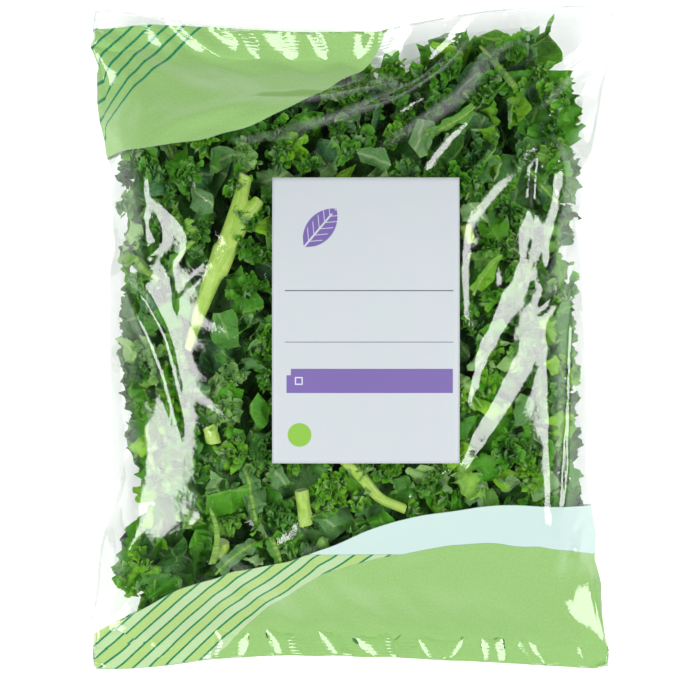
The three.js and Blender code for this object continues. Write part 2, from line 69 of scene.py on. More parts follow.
LEFT = outline([[92, 673], [93.5, 663], [98, 619], [101, 581], [103, 552], [108, 495], [110, 437], [107, 389], [106, 310], [107, 287], [115, 262], [117, 249], [111, 220], [108, 191], [107, 157], [106, 120], [106, 95], [105, 78], [101, 66], [92, 54], [87, 44], [85, 28], [87, 5]])
RIGHT = outline([[612, 668], [608, 652], [598, 619], [591, 588], [591, 552], [592, 504], [589, 456], [588, 387], [586, 349], [581, 293], [578, 254], [578, 235], [580, 205], [585, 172], [591, 134], [598, 99], [608, 50], [616, 19], [613, 0]])
HEAD = outline([[87, 5], [127, 9], [150, 20], [175, 30], [232, 33], [300, 35], [370, 35], [394, 33], [413, 27], [440, 20], [474, 10], [512, 8], [550, 8], [575, 7], [589, 4], [613, 0]])
FOOT = outline([[92, 673], [123, 671], [142, 667], [175, 662], [213, 658], [270, 655.5], [340, 656], [397, 658], [474, 661], [531, 664], [612, 668]])
CRINKLE = ((200, 1.035, 0.002, 3.0, 0.15), (60, 1.02, 0.006, 0.0, 0.3), (16, 1.0, 0.0, 0.0, 0.45))


def along(table, key, val, t):
    o = np.argsort(table[:, key], kind="stable")
    return np.interp(t, table[o, key], table[o, val])


def ss(x):
    x = np.clip(x, 0, 1)
    return x * x * (3 - 2 * x)


def pull(Q, A, B, rest, k):
    """Moves the points at index pairs A, B towards a distance of rest."""
    d = Q[B] - Q[A]
    L = np.sqrt((d * d).sum(-1, keepdims=True)) + 1e-9
    c = d * ((L - rest) / L * k)
    Q[A] += c
    Q[B] -= c


def grid_normals(P):
    u = np.roll(P, -1, 1) - np.roll(P, 1, 1)
    v = np.empty_like(P)
    v[1:-1] = P[2:] - P[:-2]
    v[0], v[-1] = P[1] - P[0], P[-1] - P[-2]
    m = np.cross(u, v)
    return m / (np.linalg.norm(m, axis=-1, keepdims=True) + 1e-9)


def held_volume(P):
    a, b = P[:-1], np.roll(P, -1, 1)[:-1]
    c, d = np.roll(P, -1, 1)[1:], P[1:]
    t = lambda p, q, r: np.einsum("ijk,ijk->ij", p, np.cross(q, r)).sum()
    return (t(a, b, c) + t(a, c, d)) / 6


def links(nc, nr, du, dv):
    """The film's links in batches in which no point comes twice: (A, B, rest, k)."""
    J, I = np.meshgrid(np.arange(nr), np.arange(nc), indexing="ij")
    at = lambda j, i: (j * nc + i % nc).ravel()
    diag = math.hypot(du, dv)
    out = []
    for s in (0, 1):
        m = (I % 2 == s)
        out.append((at(J[m], I[m]), at(J[m], I[m] + 1), du, 0.5))
    for s in (0, 1):
        m = (J % 2 == s) & (J + 1 < nr)
        out.append((at(J[m], I[m]), at(J[m] + 1, I[m]), dv, 0.5))
    for s in (0, 1):
        for way in (1, -1):
            m = (J % 2 == s) & (J + 1 < nr)
            out.append((at(J[m], I[m]), at(J[m] + 1, I[m] + way), diag, 0.4))
    for s in (0, 2):
        m = (I % 4 == s) | (I % 4 == s + 1)
        out.append((at(J[m], I[m]), at(J[m], I[m] + 2), 2 * du, 0.04))
    for s in (0, 2):
        m = ((J % 4 == s) | (J % 4 == s + 1)) & (J + 2 < nr)
        out.append((at(J[m], I[m]), at(J[m] + 2, I[m]), 2 * dv, 0.04))
    return out


def blown_pouch():
    """The pouch's mean shape: the same blow-up, outline and end flattening that the frame's film_pouch was made with. [NR, NC, 3] in mm."""
    n = NC // 2
    du, dv = 2 * FLAT_W / NC, FLAT_H / (NR - 1)
    J, I = np.meshgrid(np.arange(NR), np.arange(NC), indexing="ij")
    u, v = np.where(I <= n, I / n, 2 - I / n), J / (NR - 1)
    side = np.where((I > 0) & (I < n), 1, np.where(I > n, -1, 0))
    P = np.stack([(u - 0.5) * FLAT_W, (v - 0.5) * FLAT_H, 14 + side * 8 * np.clip(np.sin(np.pi * u), 0, 1) ** 0.6 * np.sqrt(np.abs(np.sin(np.pi * v) + 1e-12))], -1)
    V = np.zeros_like(P)
    seal = round(SEAL / dv) + 1
    rows = np.r_[np.arange(seal), np.arange(NR - seal, NR)]
    mid = np.arange(seal, NR - seal)
    batches = links(NC, NR, du, dv)
    f, b = np.arange(1, n), NC - np.arange(1, n)
    uneven = 1 + 0.35 * np.sin(0.9 * I + 0.55 * J) * np.sin(0.47 * J - 0.31 * I + 1.3)
    for _ in range(BLOW_STEPS):
        vol = held_volume(P)
        push = 0.5 * min(1.0, max(-0.5, (FILL_VOL - vol) / FILL_VOL * 6))
        m = grid_normals(P)
        old = P.copy()
        F = m * (push * uneven)[..., None]
        F[..., 2] -= 0.03 * np.maximum(0, -m[..., 2]) + 0.003
        V = (V + F) * 0.9
        L = np.linalg.norm(V, axis=-1, keepdims=True) + 1e-9
        P = P + V * np.minimum(1, 0.35 * du / L)
        for _sub in range(3):
            Q = P.reshape(-1, 3)
            for A, B, rest, k in batches:
                pull(Q, A, B, rest, k)
            mean = (P[np.ix_(rows, f)] + P[np.ix_(rows, b)]) / 2
            P[np.ix_(rows, f)] = mean
            P[np.ix_(rows, b)] = mean
            zf, zb = P[np.ix_(mid, f)][..., 2], P[np.ix_(mid, b)][..., 2]
            cross = zf < zb
            avg = (zf + zb) / 2
            P[np.ix_(mid, f, [2])] = np.where(cross, avg, zf)[..., None]
            P[np.ix_(mid, b, [2])] = np.where(cross, avg, zb)[..., None]
            P[..., 2] = np.maximum(P[..., 2], 0)
        V = P - old
    v0 = P.copy()
    t = J / (NR - 1)
    l, r = v0[:, :1], v0[:, n:n + 1]
    foot, head = v0[:1], v0[-1:]
    a = np.clip((P[..., 0] - l[..., 0]) / (r[..., 0] - l[..., 0]), 0, 1)
    P[..., 1] += (along(FOOT, 0, 1, foot[..., 0]) - foot[..., 1]) * ss((0.22 - t) / 0.22) + (along(HEAD, 0, 1, head[..., 0]) - head[..., 1]) * ss((t - 0.78) / 0.22)
    P[..., 0] += (along(LEFT, 1, 0, P[..., 1]) - l[..., 0]) * (1 - a) + (along(RIGHT, 1, 0, P[..., 1]) - r[..., 0]) * a
    e = np.minimum(J, NR - 1 - J)
    end = ss((5.5 - e) / 4.5)
    c = np.minimum(I % n, n - (I % n))
    corner = ss((7.5 - e) / 5) * ss((4.5 - c) / 3)
    for _pass in range(10):
        Q = P.copy()
        A, B = np.roll(Q, 1, 1), np.roll(Q, -1, 1)
        P[..., 2] += 0.5 * end * ((A[..., 2] + B[..., 2]) / 2 - Q[..., 2])
        inner = np.zeros_like(P)
        inner[1:-1] = (Q[:-2] + Q[2:]) / 4 + (A[1:-1] + B[1:-1]) / 4 - Q[1:-1]
        inner[..., 0] *= c > 0
        P += 0.45 * corner[..., None] * inner
    F, Bk = P[:, f].copy(), P[:, b].copy()
    need = FILM_T + LAYER_GAP
    sealed = ((np.arange(NR) < seal) | (np.arange(NR) >= NR - seal))[:, None]
    xy = np.where(sealed[..., None], (F + Bk) / 2, 0)
    for x in range(2):
        F[..., x] = np.where(sealed, xy[..., x], F[..., x])
        Bk[..., x] = np.where(sealed, xy[..., x], Bk[..., x])
    close = sealed | (F[..., 2] - Bk[..., 2] < need)
    m = (F[..., 2] + Bk[..., 2]) / 2
    F[..., 2] = np.where(close, m + need / 2, F[..., 2])
    Bk[..., 2] = np.where(close, m - need / 2, Bk[..., 2])
    P[:, f], P[:, b] = F, Bk
    P[..., 2] += FILM_T / 2 - P[..., 2].min()
    lo, hi = P.reshape(-1, 3).min(0), P.reshape(-1, 3).max(0)
    P[..., :2] -= ((lo + hi) / 2)[:2]
    return P


def twice(P):
    """The grid at half the spacing, by cubic midpoints; columns run round the tube."""
    m = (-np.roll(P, 1, 1) + 9 * P + 9 * np.roll(P, -1, 1) - np.roll(P, -2, 1)) / 16
    Q = np.empty((P.shape[0], 2 * P.shape[1], 3))
    Q[:, 0::2], Q[:, 1::2] = P, m
    pad = np.concatenate([2 * Q[:1] - Q[1:2], Q, 2 * Q[-1:] - Q[-2:-1]])
    m = (-pad[:-3] + 9 * pad[1:-2] + 9 * pad[2:-1] - pad[3:]) / 16
    R = np.empty((2 * Q.shape[0] - 1, Q.shape[1], 3))
    R[0::2], R[1::2] = Q, m
    return R


def smooth_noise(shape, cells, rng):
    """Random field of unit size on the tube grid, with about that many bumps round it."""
    nr, nc = shape
    ch = max(4, int(cells * nr / nc * FLAT_H / (2 * FLAT_W) * nc / nr) + 3)
    g = rng.standard_normal((ch, cells))
    y, x = np.linspace(0, ch - 1.001, nr), np.arange(nc) * cells / nc
    j, i = y.astype(int), x.astype(int)
    fy, fx = ss(y - j)[:, None], ss(x - i)[None]
    a, b = g[j][:, i], g[j][:, (i + 1) % cells]
    c, d = g[j + 1][:, i], g[j + 1][:, (i + 1) % cells]
    return (a * (1 - fx) + b * fx) * (1 - fy) + (c * (1 - fx) + d * fx) * fy


def crinkle(M, levels=CRINKLE, seed=5):
    """Lets the film keep its real size round the mean shape M: its spare length buckles into folds and crinkles."""
    rng = np.random.default_rng(seed)
    P = M
    for steps, spare, hold, kick, bend in levels:
        M, P = twice(M), twice(P)
        nr, nc = P.shape[:2]
        n = nc // 2
        du, dv = 2 * FLAT_W / nc * spare, FLAT_H / (nr - 1) * spare
        N = grid_normals(M)
        end = np.minimum(np.arange(nr), nr - 1 - np.arange(nr)) * dv
        free = ss((end - 5) / 8)[:, None]
        P = P + N * (smooth_noise((nr, nc), nc // 5, rng) * kick * 0.5 + smooth_noise((nr, nc), nc // 10, rng) * kick)[..., None] * (0.25 + 0.75 * free)[..., None]
        batches = [(A, B, r, k if k > 0.1 else bend) for A, B, r, k in links(nc, nr, du, dv)]
        seal = round(SEAL / dv) + 1
        rows = np.r_[np.arange(seal), np.arange(nr - seal, nr)]
        f, b = np.arange(1, n), nc - np.arange(1, n)
        V = np.zeros_like(P)
        for _ in range(steps):
            old = P.copy()
            V *= 0.85
            P = P + V + hold * (M - P)
            Q = P.reshape(-1, 3)
            for A, B, rest, k in batches:
                pull(Q, A, B, rest, k)
            mean = (P[np.ix_(rows, f)] + P[np.ix_(rows, b)]) / 2
            P[np.ix_(rows, f)] = mean
            P[np.ix_(rows, b)] = mean
            P[..., 2] = np.maximum(P[..., 2], 0.15)
            V = P - old
    return M, P


# creases that the hand has left in the front film: side it faces, slope wanted, width of the fold back on each side, and points x, y, half width
CREASES = [
    (1, 0.34, 4.0, [(83, 41, 0.6), (80.5, 33, 3.0), (71, 17, 4.2), (58.5, -6.0, 3.4), (51.6, -28, 1.0)]),
    (1, 0.34, 4.0, [(95, 24, 0.6), (90.1, 16.2, 2.8), (80.7, -1.6, 4.2), (70.1, -21.6, 4.8), (59.8, -39.4, 4.4), (49.6, -55, 3.6), (29, -73, 2.6)]),
    (1, 0.34, 2.5, [(98, 20, 0.6), (96.6, -5, 1.4), (95.8, -28.3, 1.2), (94.5, -58, 1.8), (93, -74, 1.2)]),
    (1, 0.34, 3.5, [(86, 88, 1.5), (88.5, 74, 6.5), (87.5, 58, 7.0), (85, 47, 3.0), (84, 41, 0.6)]),
    (-1, 0.34, 4.0, [(-88, 30, 7.5), (-85.5, 8, 8.5), (-79, -12, 8.0), (-77.5, -32, 10.0), (-75.5, -52, 9.5), (-76, -72, 10.0), (-77.5, -86, 6.5), (-77.5, -102, 1.2)]),
    (-1, 0.02, 2.0, [(-100, 24, 1.0), (-93, 14, 4.0), (-85, -1, 4.2), (-79.5, -18, 3.2), (-74.5, -38, 2.4), (-73.5, -45, 0.8)]),
]
NATURAL = ([-104, -95, -84.5, -73, -61, -50, -30, 30, 50, 58, 70, 81, 91, 100], [1.43, 0.74, 0.445, 0.26, 0.135, 0.065, 0.03, 0.03, 0.06, 0.12, 0.238, 0.44, 0.75, 1.43])


# how the film lies flatter over the contents and drops faster at their edge: extra slope by x, right side and upper left side
SHOULDERS = [
    (1, [62, 70, 78, 85, 87.5, 91, 97, 101], [0, 0.05, 0.13, 0.23, -0.12, -0.28, -0.24, 0], (-100, -82, 70, 92)),
    (-1, [62, 72, 80, 88, 91, 95, 100, 105], [0, 0.06, 0.14, 0.24, -0.15, -0.30, -0.22, 0], (24, 44, 74, 92)),
]


def extra_slope(x, y):
    out = 0.0
    for side, xs, e, (y0, y1, y2, y3) in SHOULDERS:
        out = out + np.interp(x * side, xs, e, 0, 0) * ss((y - y0) / (y1 - y0)) * ss((y3 - y) / (y3 - y2))
    return out


def shoulder(P, M):
    """Squares the pouch's sides off a little where it is packed full."""
    n = P.shape[1] // 2
    f = np.arange(1, n)
    for side, xs, e, (y0, y1, y2, y3) in SHOULDERS:
        grid = np.linspace(xs[0], xs[-1], 400)
        slope = np.interp(grid, xs, e)
        up, down = slope.clip(min=0).sum(), -slope.clip(max=0).sum()
        slope = np.where(slope < 0, slope * up / down, slope)
        rise = np.cumsum(slope) * (grid[1] - grid[0])
        for G in (P, M):
            F = G[:, f]
            y = F[..., 1]
            F[..., 2] += np.interp(F[..., 0] * side, grid, rise, 0, 0) * ss((y - y0) / (y1 - y0)) * ss((y3 - y) / (y3 - y2))
            G[:, f] = F
    return P, M


def crease(P, M):
    """Presses the creases into the front film: each is a narrow facet of one slope, with a short fold back on either side."""
    n = P.shape[1] // 2
    f = np.arange(1, n)
    F, G = P[:, f].copy(), M[:, f]
    for side, slope, gap, pts in CREASES:
        line = np.array([a for a in pts], float)
        k = np.linspace(0, len(line) - 1, 160)
        line = np.stack([np.interp(k, np.arange(len(line)), line[:, i]) for i in range(3)], 1)
        # rounded corners
        for _ in range(12):
            line[1:-1] = (line[:-2] + 2 * line[1:-1] + line[2:]) / 4
        T = np.gradient(line[:, :2], axis=0)
        T /= np.linalg.norm(T, axis=1, keepdims=True)
        N = np.stack([-T[:, 1], T[:, 0]], 1)
        N *= np.sign(N[:, :1] * side)
        reach = line[:, 2].max() + gap + 2
        lo, hi = line[:, :2].min(0) - reach, line[:, :2].max(0) + reach
        J, I = np.nonzero((F[..., 0] > lo[0]) & (F[..., 0] < hi[0]) & (F[..., 1] > lo[1]) & (F[..., 1] < hi[1]))
        q = F[J, I, :2]
        d2 = ((q[:, None] - line[None, :, :2]) ** 2).sum(-1)
        a = d2.argmin(1)
        rel = q - line[a, :2]
        d = (rel * N[a]).sum(1)
        past = np.abs((rel * T[a]).sum(1))
        w = line[a, 2] * np.clip(1 - past / 3.0, 0, 1)
        delta = slope - np.interp(line[a, 0], *NATURAL) + extra_slope(line[a, 0], line[a, 1])
        ad = np.abs(d)
        prof = np.where(ad < w, d, np.sign(d) * w * np.clip(1 - (ad - w) / gap, 0, 1))
        # the facet itself is smoother than the film round it
        near = ss((w + 1.5 - ad) / 1.5) * (w > 0.3)
        smooth = G[J, I, 2] + 0.35 * (F[J, I, 2] - G[J, I, 2])
        F[J, I, 2] += (smooth - F[J, I, 2]) * near * 0.85 - delta * prof * 0.92
    # over the print the film is stiffer and creases less
    print_share = np.maximum(ss((-95 - F[..., 1]) / 14) * ss((F[..., 1] + 149) / 4), ss((F[..., 1] - 78 + 0.35 * np.maximum(F[..., 0] + 20, 0)) / 30) * ss((132 - F[..., 1]) / 8) * ss((44 - F[..., 0]) / 50))
    F += (G - F) * (0.72 * print_share)[..., None]
    P[:, f] = F
    return P


LABEL = {"x0": -34.3, "x1": 47.7, "y0": -55.6, "y1": 69.6}


def label_height(P):
    """A smooth height field for the stiff label over the crinkled front film: fit of low order over its rectangle."""
    nc = P.shape[1]
    F = P[:, 1:nc // 2].reshape(-1, 3)
    cx, cy = (LABEL["x0"] + LABEL["x1"]) / 2, (LABEL["y0"] + LABEL["y1"]) / 2
    w, h = (LABEL["x1"] - LABEL["x0"]) / 2, (LABEL["y1"] - LABEL["y0"]) / 2
    m = (abs(F[:, 0] - cx) < w + 3) & (abs(F[:, 1] - cy) < h + 3)
    X, Y, Z = (F[m, 0] - cx) / w, (F[m, 1] - cy) / h, F[m, 2]
    terms = lambda x, y: np.stack([x ** i * y ** j for i in range(5) for j in range(6) if i + j <= 5], -1)
    k = np.linalg.lstsq(terms(X, Y), Z, rcond=None)[0]
    return lambda x, y: terms((x - cx) / w, (y - cy) / h) @ k


def film_object(P, material):
    nr, nc = P.shape[:2]
    n = nc // 2
    at = lambda j, i: j * nc + i % nc
    J, I = np.meshgrid(np.arange(nr - 1), np.arange(nc), indexing="ij")
    J, I = J.ravel(), I.ravel()
    quads = np.stack([at(J, I), at(J, I + 1), at(J + 1, I + 1), at(J + 1, I)], -1)
    du, dv = 2 * FLAT_W / nc, FLAT_H / (nr - 1)
    uvs = np.stack([np.stack([I * du, J * dv], -1), np.stack([(I + 1) * du, J * dv], -1), np.stack([(I + 1) * du, (J + 1) * dv], -1), np.stack([I * du, (J + 1) * dv], -1)], 1)
    # the ends' cut edges join the front layer to the back one
    ends, end_uv = [], []
    for j, flip in ((0, False), (nr - 1, True)):
        for i in range(n):
            a, b, c, d = at(j, i), at(j, i + 1), at(j, nc - i - 1), at(j, nc - i)
            q = [a, d, c, b] if not flip else [a, b, c, d]
            q = [v for x, v in enumerate(q) if v not in q[:x]]
            if len(q) < 3:
                continue
            ends.append(q)
            end_uv.append([[min(v % nc, nc - v % nc) * du, j * dv] for v in q])
    me = bpy.data.meshes.new("film_pouch_skin")
    faces = [tuple(q) for q in quads.tolist()] + [tuple(q) for q in ends]
    me.from_pydata((P.reshape(-1, 3) * MM).tolist(), [], faces)
    layer = me.uv_layers.new(name="flat")
    flat = np.concatenate([uvs.reshape(-1, 2), np.array([p for q in end_uv for p in q]).reshape(-1, 2)]) * MM
    layer.data.foreach_set("uv", flat.astype(np.float32).ravel())
    me.polygons.foreach_set("use_smooth", np.ones(len(me.polygons), bool))
    me.update()
    ob = bpy.data.objects.new("film_pouch_skin", me)
    bpy.context.scene.collection.objects.link(ob)
    me.materials.append(material)
    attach(ob, "root")
    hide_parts("film_pouch")
    return ob


def label_object(high, material):
    """The paper label: a thin sheet with a real edge, on the film's outside."""
    nx, ny, t = 42, 64, 0.22
    x = np.linspace(LABEL["x0"], LABEL["x1"], nx)
    y = np.linspace(LABEL["y0"], LABEL["y1"], ny)
    X, Y = np.meshgrid(x, y)
    Z = high(X, Y) + 0.42
    top = np.stack([X, Y, Z + t], -1).reshape(-1, 3)
    low = np.stack([X, Y, Z], -1).reshape(-1, 3)
    at = lambda j, i: j * nx + i
    J, I = np.meshgrid(np.arange(ny - 1), np.arange(nx - 1), indexing="ij")
    J, I = J.ravel(), I.ravel()
    q = np.stack([at(J, I), at(J, I + 1), at(J + 1, I + 1), at(J + 1, I)], -1)
    N = nx * ny
    ring = [at(0, i) for i in range(nx)] + [at(j, nx - 1) for j in range(1, ny)] + [at(ny - 1, i) for i in range(nx - 2, -1, -1)] + [at(j, 0) for j in range(ny - 2, 0, -1)]
    side = np.array([(ring[k], ring[k] + N, ring[(k + 1) % len(ring)] + N, ring[(k + 1) % len(ring)]) for k in range(len(ring))])[:, ::-1]
    side = side[:, [0, 1, 2, 3]]
    faces = np.concatenate([q, q[:, ::-1] + N, side[:, ::-1][:, [0, 1, 2, 3]]])
    ob = new_object("front_label_sheet", np.concatenate([top, low]), faces)
    ob.data.materials.append(material)
    uv = np.stack([(X - LABEL["x0"]), (Y - LABEL["y0"])], -1).reshape(-1, 2) * MM
    uv_layer(ob, "flat", np.concatenate([uv, uv]))
    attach(ob, "root")
    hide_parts("front_label")
    return ob

# ---------------------------------------------------------------- heights of the film above and below a place
class Heights:
    """The front and back film's inner heights on a 1.5 mm grid, by rays through the fine film."""

    def __init__(self, P):
        nr, nc = P.shape[:2]
        at = lambda j, i: j * nc + i % nc
        J, I = np.meshgrid(np.arange(nr - 1), np.arange(nc), indexing="ij")
        quads = np.stack([at(J, I), at(J, I + 1), at(J + 1, I + 1), at(J + 1, I)], -1).reshape(-1, 4)
        tree = BVHTree.FromPolygons([tuple(p) for p in P.reshape(-1, 3)], [tuple(q) for q in quads.tolist()])
        self.step, self.x0, self.y0 = 1.5, -120.0, -151.5
        nx, ny = 161, 203
        self.top, self.bot = np.full((ny, nx), np.nan), np.full((ny, nx), np.nan)
        up, down = Vector((0, 0, 1)), Vector((0, 0, -1))
        for j in range(ny):
            for i in range(nx):
                x, y = self.x0 + i * self.step, self.y0 + j * self.step
                a = tree.ray_cast(Vector((x, y, 100)), down)[0]
                if a is None:
                    continue
                self.top[j, i] = a.z
                self.bot[j, i] = tree.ray_cast(Vector((x, y, -20)), up)[0].z
        # outside the outline both heights run on at the side fold's middle, so that nothing stands up there
        hole = np.isnan(self.top)
        self.inside = ~hole
        for _ in range(60):
            if not hole.any():
                break
            for g in (self.top, self.bot):
                s, c = np.zeros_like(g), np.zeros_like(g)
                v = np.where(np.isnan(g), 0, g)
                k = (~np.isnan(g)).astype(float)
                for dj, di in ((0, 1), (0, -1), (1, 0), (-1, 0)):
                    s += np.roll(v, (dj, di), (0, 1))
                    c += np.roll(k, (dj, di), (0, 1))
                fill = np.isnan(g) & (c > 0)
                g[fill] = s[fill] / c[fill]
            hole = np.isnan(self.top)

    def __call__(self, x, y, which):
        g = self.top if which == "top" else self.bot
        fx = np.clip((x - self.x0) / self.step, 0, g.shape[1] - 1.001)
        fy = np.clip((y - self.y0) / self.step, 0, g.shape[0] - 1.001)
        i, j = fx.astype(int), fy.astype(int)
        a, b = fx - i, fy - j
        return g[j, i] * (1 - a) * (1 - b) + g[j, i + 1] * a * (1 - b) + g[j + 1, i] * (1 - a) * b + g[j + 1, i + 1] * a * b


# ---------------------------------------------------------------- cut pieces of leaf
def flat_grid(L, W, h):
    """A triangulated rectangle from (-L, -W) to (L, W) at a spacing of about h."""
    ns, nt = max(4, int(round(2 * L / h))), max(4, 2 * int(round(W / h)))
    s, t = np.linspace(-L, L, ns + 1), np.linspace(-W, W, nt + 1)
    S, T = np.meshgrid(s, t, indexing="ij")
    a = (np.arange(ns)[:, None] * (nt + 1) + np.arange(nt)[None]).ravel()
    b, c, d = a + nt + 1, a + nt + 2, a + 1
    flip = ((a // (nt + 1) + a % (nt + 1)) % 2 == 0)[:, None]
    one = np.where(flip, np.stack([a, b, c], 1), np.stack([a, b, d], 1))
    two = np.where(flip, np.stack([a, c, d], 1), np.stack([b, c, d], 1))
    return np.stack([S.ravel(), T.ravel()], 1), np.concatenate([one, two])


def cut(p, tris, nx, ny, reach, fields=()):
    """Keeps the part of a flat mesh where nx*s + ny*t <= reach, with a clean straight edge."""
    d = p[:, 0] * nx + p[:, 1] * ny - reach
    keep = d <= 0
    k = keep[tris].sum(1)
    whole = tris[k == 3]
    new_p, new_t, made = [], [], {}
    base = len(p)
    crossing = tris[(k == 1) | (k == 2)]

    def on(a, b):
        key = (a, b) if a < b else (b, a)
        if key not in made:
            f = d[a] / (d[a] - d[b])
            made[key] = base + len(new_p)
            new_p.append(p[a] * (1 - f) + p[b] * f)
        return made[key]

    for tri in crossing.tolist():
        ks = [keep[v] for v in tri]
        if sum(ks) == 1:
            i = ks.index(True)
            a, b, c = tri[i], tri[(i + 1) % 3], tri[(i + 2) % 3]
            new_t.append((a, on(a, b), on(a, c)))
        else:
            i = ks.index(False)
            a, b, c = tri[i], tri[(i + 1) % 3], tri[(i + 2) % 3]
            u, v = on(a, b), on(a, c)
            new_t.append((u, b, c))
            new_t.append((u, c, v))
    p = np.concatenate([p, np.array(new_p).reshape(-1, p.shape[1])])
    tris = np.concatenate([whole, np.array(new_t, int).reshape(-1, 3)])
    used = np.unique(tris)
    back = np.full(len(p), -1)
    back[used] = np.arange(len(used))
    return p[used], back[tris]


def teeth(s, rng, pitch, depth):
    """A ragged natural margin: rounded lobes with small teeth on them, as a factor on the half width."""
    out = 1 + depth * 0.5 * np.sin(s / pitch * 0.9 + rng.uniform(0, 6)) + depth * 0.35 * np.sin(s / pitch * 2.3 + rng.uniform(0, 6))
    saw = np.abs(((s / (pitch * 0.62) + rng.uniform(0, 1)) % 1) - 0.5) * 2
    return out + depth * 0.45 * (saw - 0.5)


def leaf_piece(rng, L, W, curly, h, mid=0.0, fold=None, cuts=6, under=0.0, tone=0.5, curl=0.0, vee=0.0, round_=0.9, cup=0.0):
    """One cut piece of leaf in its own plane. Returns points (mm), triangles, flat coordinates, and rim and tone values.
    curly: 0 a flat piece from beside the rib, 1 a ruffled piece from the margin. mid: where the rib runs, as a share of W."""
    p, tris = flat_grid(L, W, h)
    s, t = p[:, 0], p[:, 1]
    ragged = np.where(t > 0, teeth(s, rng, 3.0, 0.18 + 0.30 * curly), teeth(s, rng, 2.6, 0.18 + 0.30 * curly))
    p = np.stack([s, t * ragged], 1)
    # straight knife cuts take the ends and corners off
    a0 = rng.uniform(0, 6.28)
    for c in range(cuts):
        a = a0 + (c + rng.uniform(-0.32, 0.32)) * 2 * math.pi / cuts
        ca, sa = math.cos(a), math.sin(a)
        if curly > 0.5 and abs(sa) > 0.8:
            continue  # the natural margin stays
        reach = L * W / math.sqrt((W * ca) ** 2 + (L * sa) ** 2) * rng.uniform(round_ - 0.14, round_ + 0.06)
        p, tris = cut(p, tris, ca, sa, reach)
        if len(tris) < 8:
            return None
    flat = p.copy()
    s, t = p[:, 0], p[:, 1]
    m = t - mid * W
    tn = np.abs(m) / W
    side = np.sign(m + 1e-9)
    z = np.zeros(len(p))
    ds = np.zeros(len(p))
    # broad waves over the whole piece
    for lam, A, start, power in ((17.0, 3.0, 0.0, 0.9), (8.0, 1.3, 0.15, 1.3)):
        w = np.clip((tn - start) / (1 - start), 0, 1.25) ** power * A * (0.3 + 0.7 * curly)
        lam = lam * rng.uniform(0.85, 1.2)
        ph = rng.uniform(0, 6.28) + side * rng.uniform(0.5, 2.5)
        th = 2 * math.pi * s / lam + ph + 0.9 * np.sin(2 * math.pi * s / (lam * 2.7) + ph * 1.7) + 1.1 * tn * rng.uniform(-1, 1)
        z += w * np.sin(th)
        ds += 0.4 * w * np.cos(th)
    # ruffles in the last few millimetres before the natural margin
    zone = np.clip(1 - (W * 1.05 - np.abs(t)) / (4.2 + 1.6 * curly), 0, 1.15) * curly
    for lam, A, power in ((5.4, 1.9, 1.1), (2.7, 0.95, 1.7)):
        lam = lam * rng.uniform(0.85, 1.15)
        ph = rng.uniform(0, 6.28, 2)[(t > 0).astype(int)]
        th = 2 * math.pi * s / lam + ph + 1.2 * np.sin(2 * math.pi * s / (lam * 3.1) + ph * 2) + 0.8 * zone
        z += A * zone ** power * np.sin(th)
        ds += 0.75 * A * zone ** power * np.cos(th)
    # gentle dents between the veins
    z += 0.35 * np.sin(s * 0.9 + 2 * np.sin(t * 0.35 + rng.uniform(0, 6))) * np.sin(t * 0.75 + rng.uniform(0, 6)) * (1 - 0.4 * curly)
    pull_in = 1 - 0.16 * zone ** 1.5
    q = np.stack([s + ds, mid * W + m * pull_in, z], 1)
    q[:, 2] += vee * np.abs(m) + cup * (tn ** 2) * W * 0.25
    if curl:
        r = L / curl
        ang = q[:, 0] / r
        zz = q[:, 2].copy()
        q[:, 2] = (r - zz) * -np.cos(ang) + r
        q[:, 0] = (r - zz) * np.sin(ang)
    for (fa, reach, turn) in fold or ():
        ca, sa = math.cos(fa), math.sin(fa)
        d = q[:, 0] * ca + q[:, 1] * sa - reach * min(L, W)
        soft = 0.9
        bend = np.clip(d / soft, 0, 1)
        ang = turn * bend * bend * (3 - 2 * bend)
        rr = np.maximum(d, 0)
        dz = q[:, 2]
        new_d = np.where(d > 0, rr * np.cos(ang) - dz * np.sin(ang), d)
        new_z = np.where(d > 0, rr * np.sin(ang) + dz * np.cos(ang), dz)
        q[:, 0] += (new_d - d) * ca
        q[:, 1] += (new_d - d) * sa
        q[:, 2] = new_z
    rim = np.clip(zone, 0, 1)
    return q, tris, flat, np.stack([rim, np.full(len(q), tone), np.full(len(q), under), np.zeros(len(q))], 1), mid * W


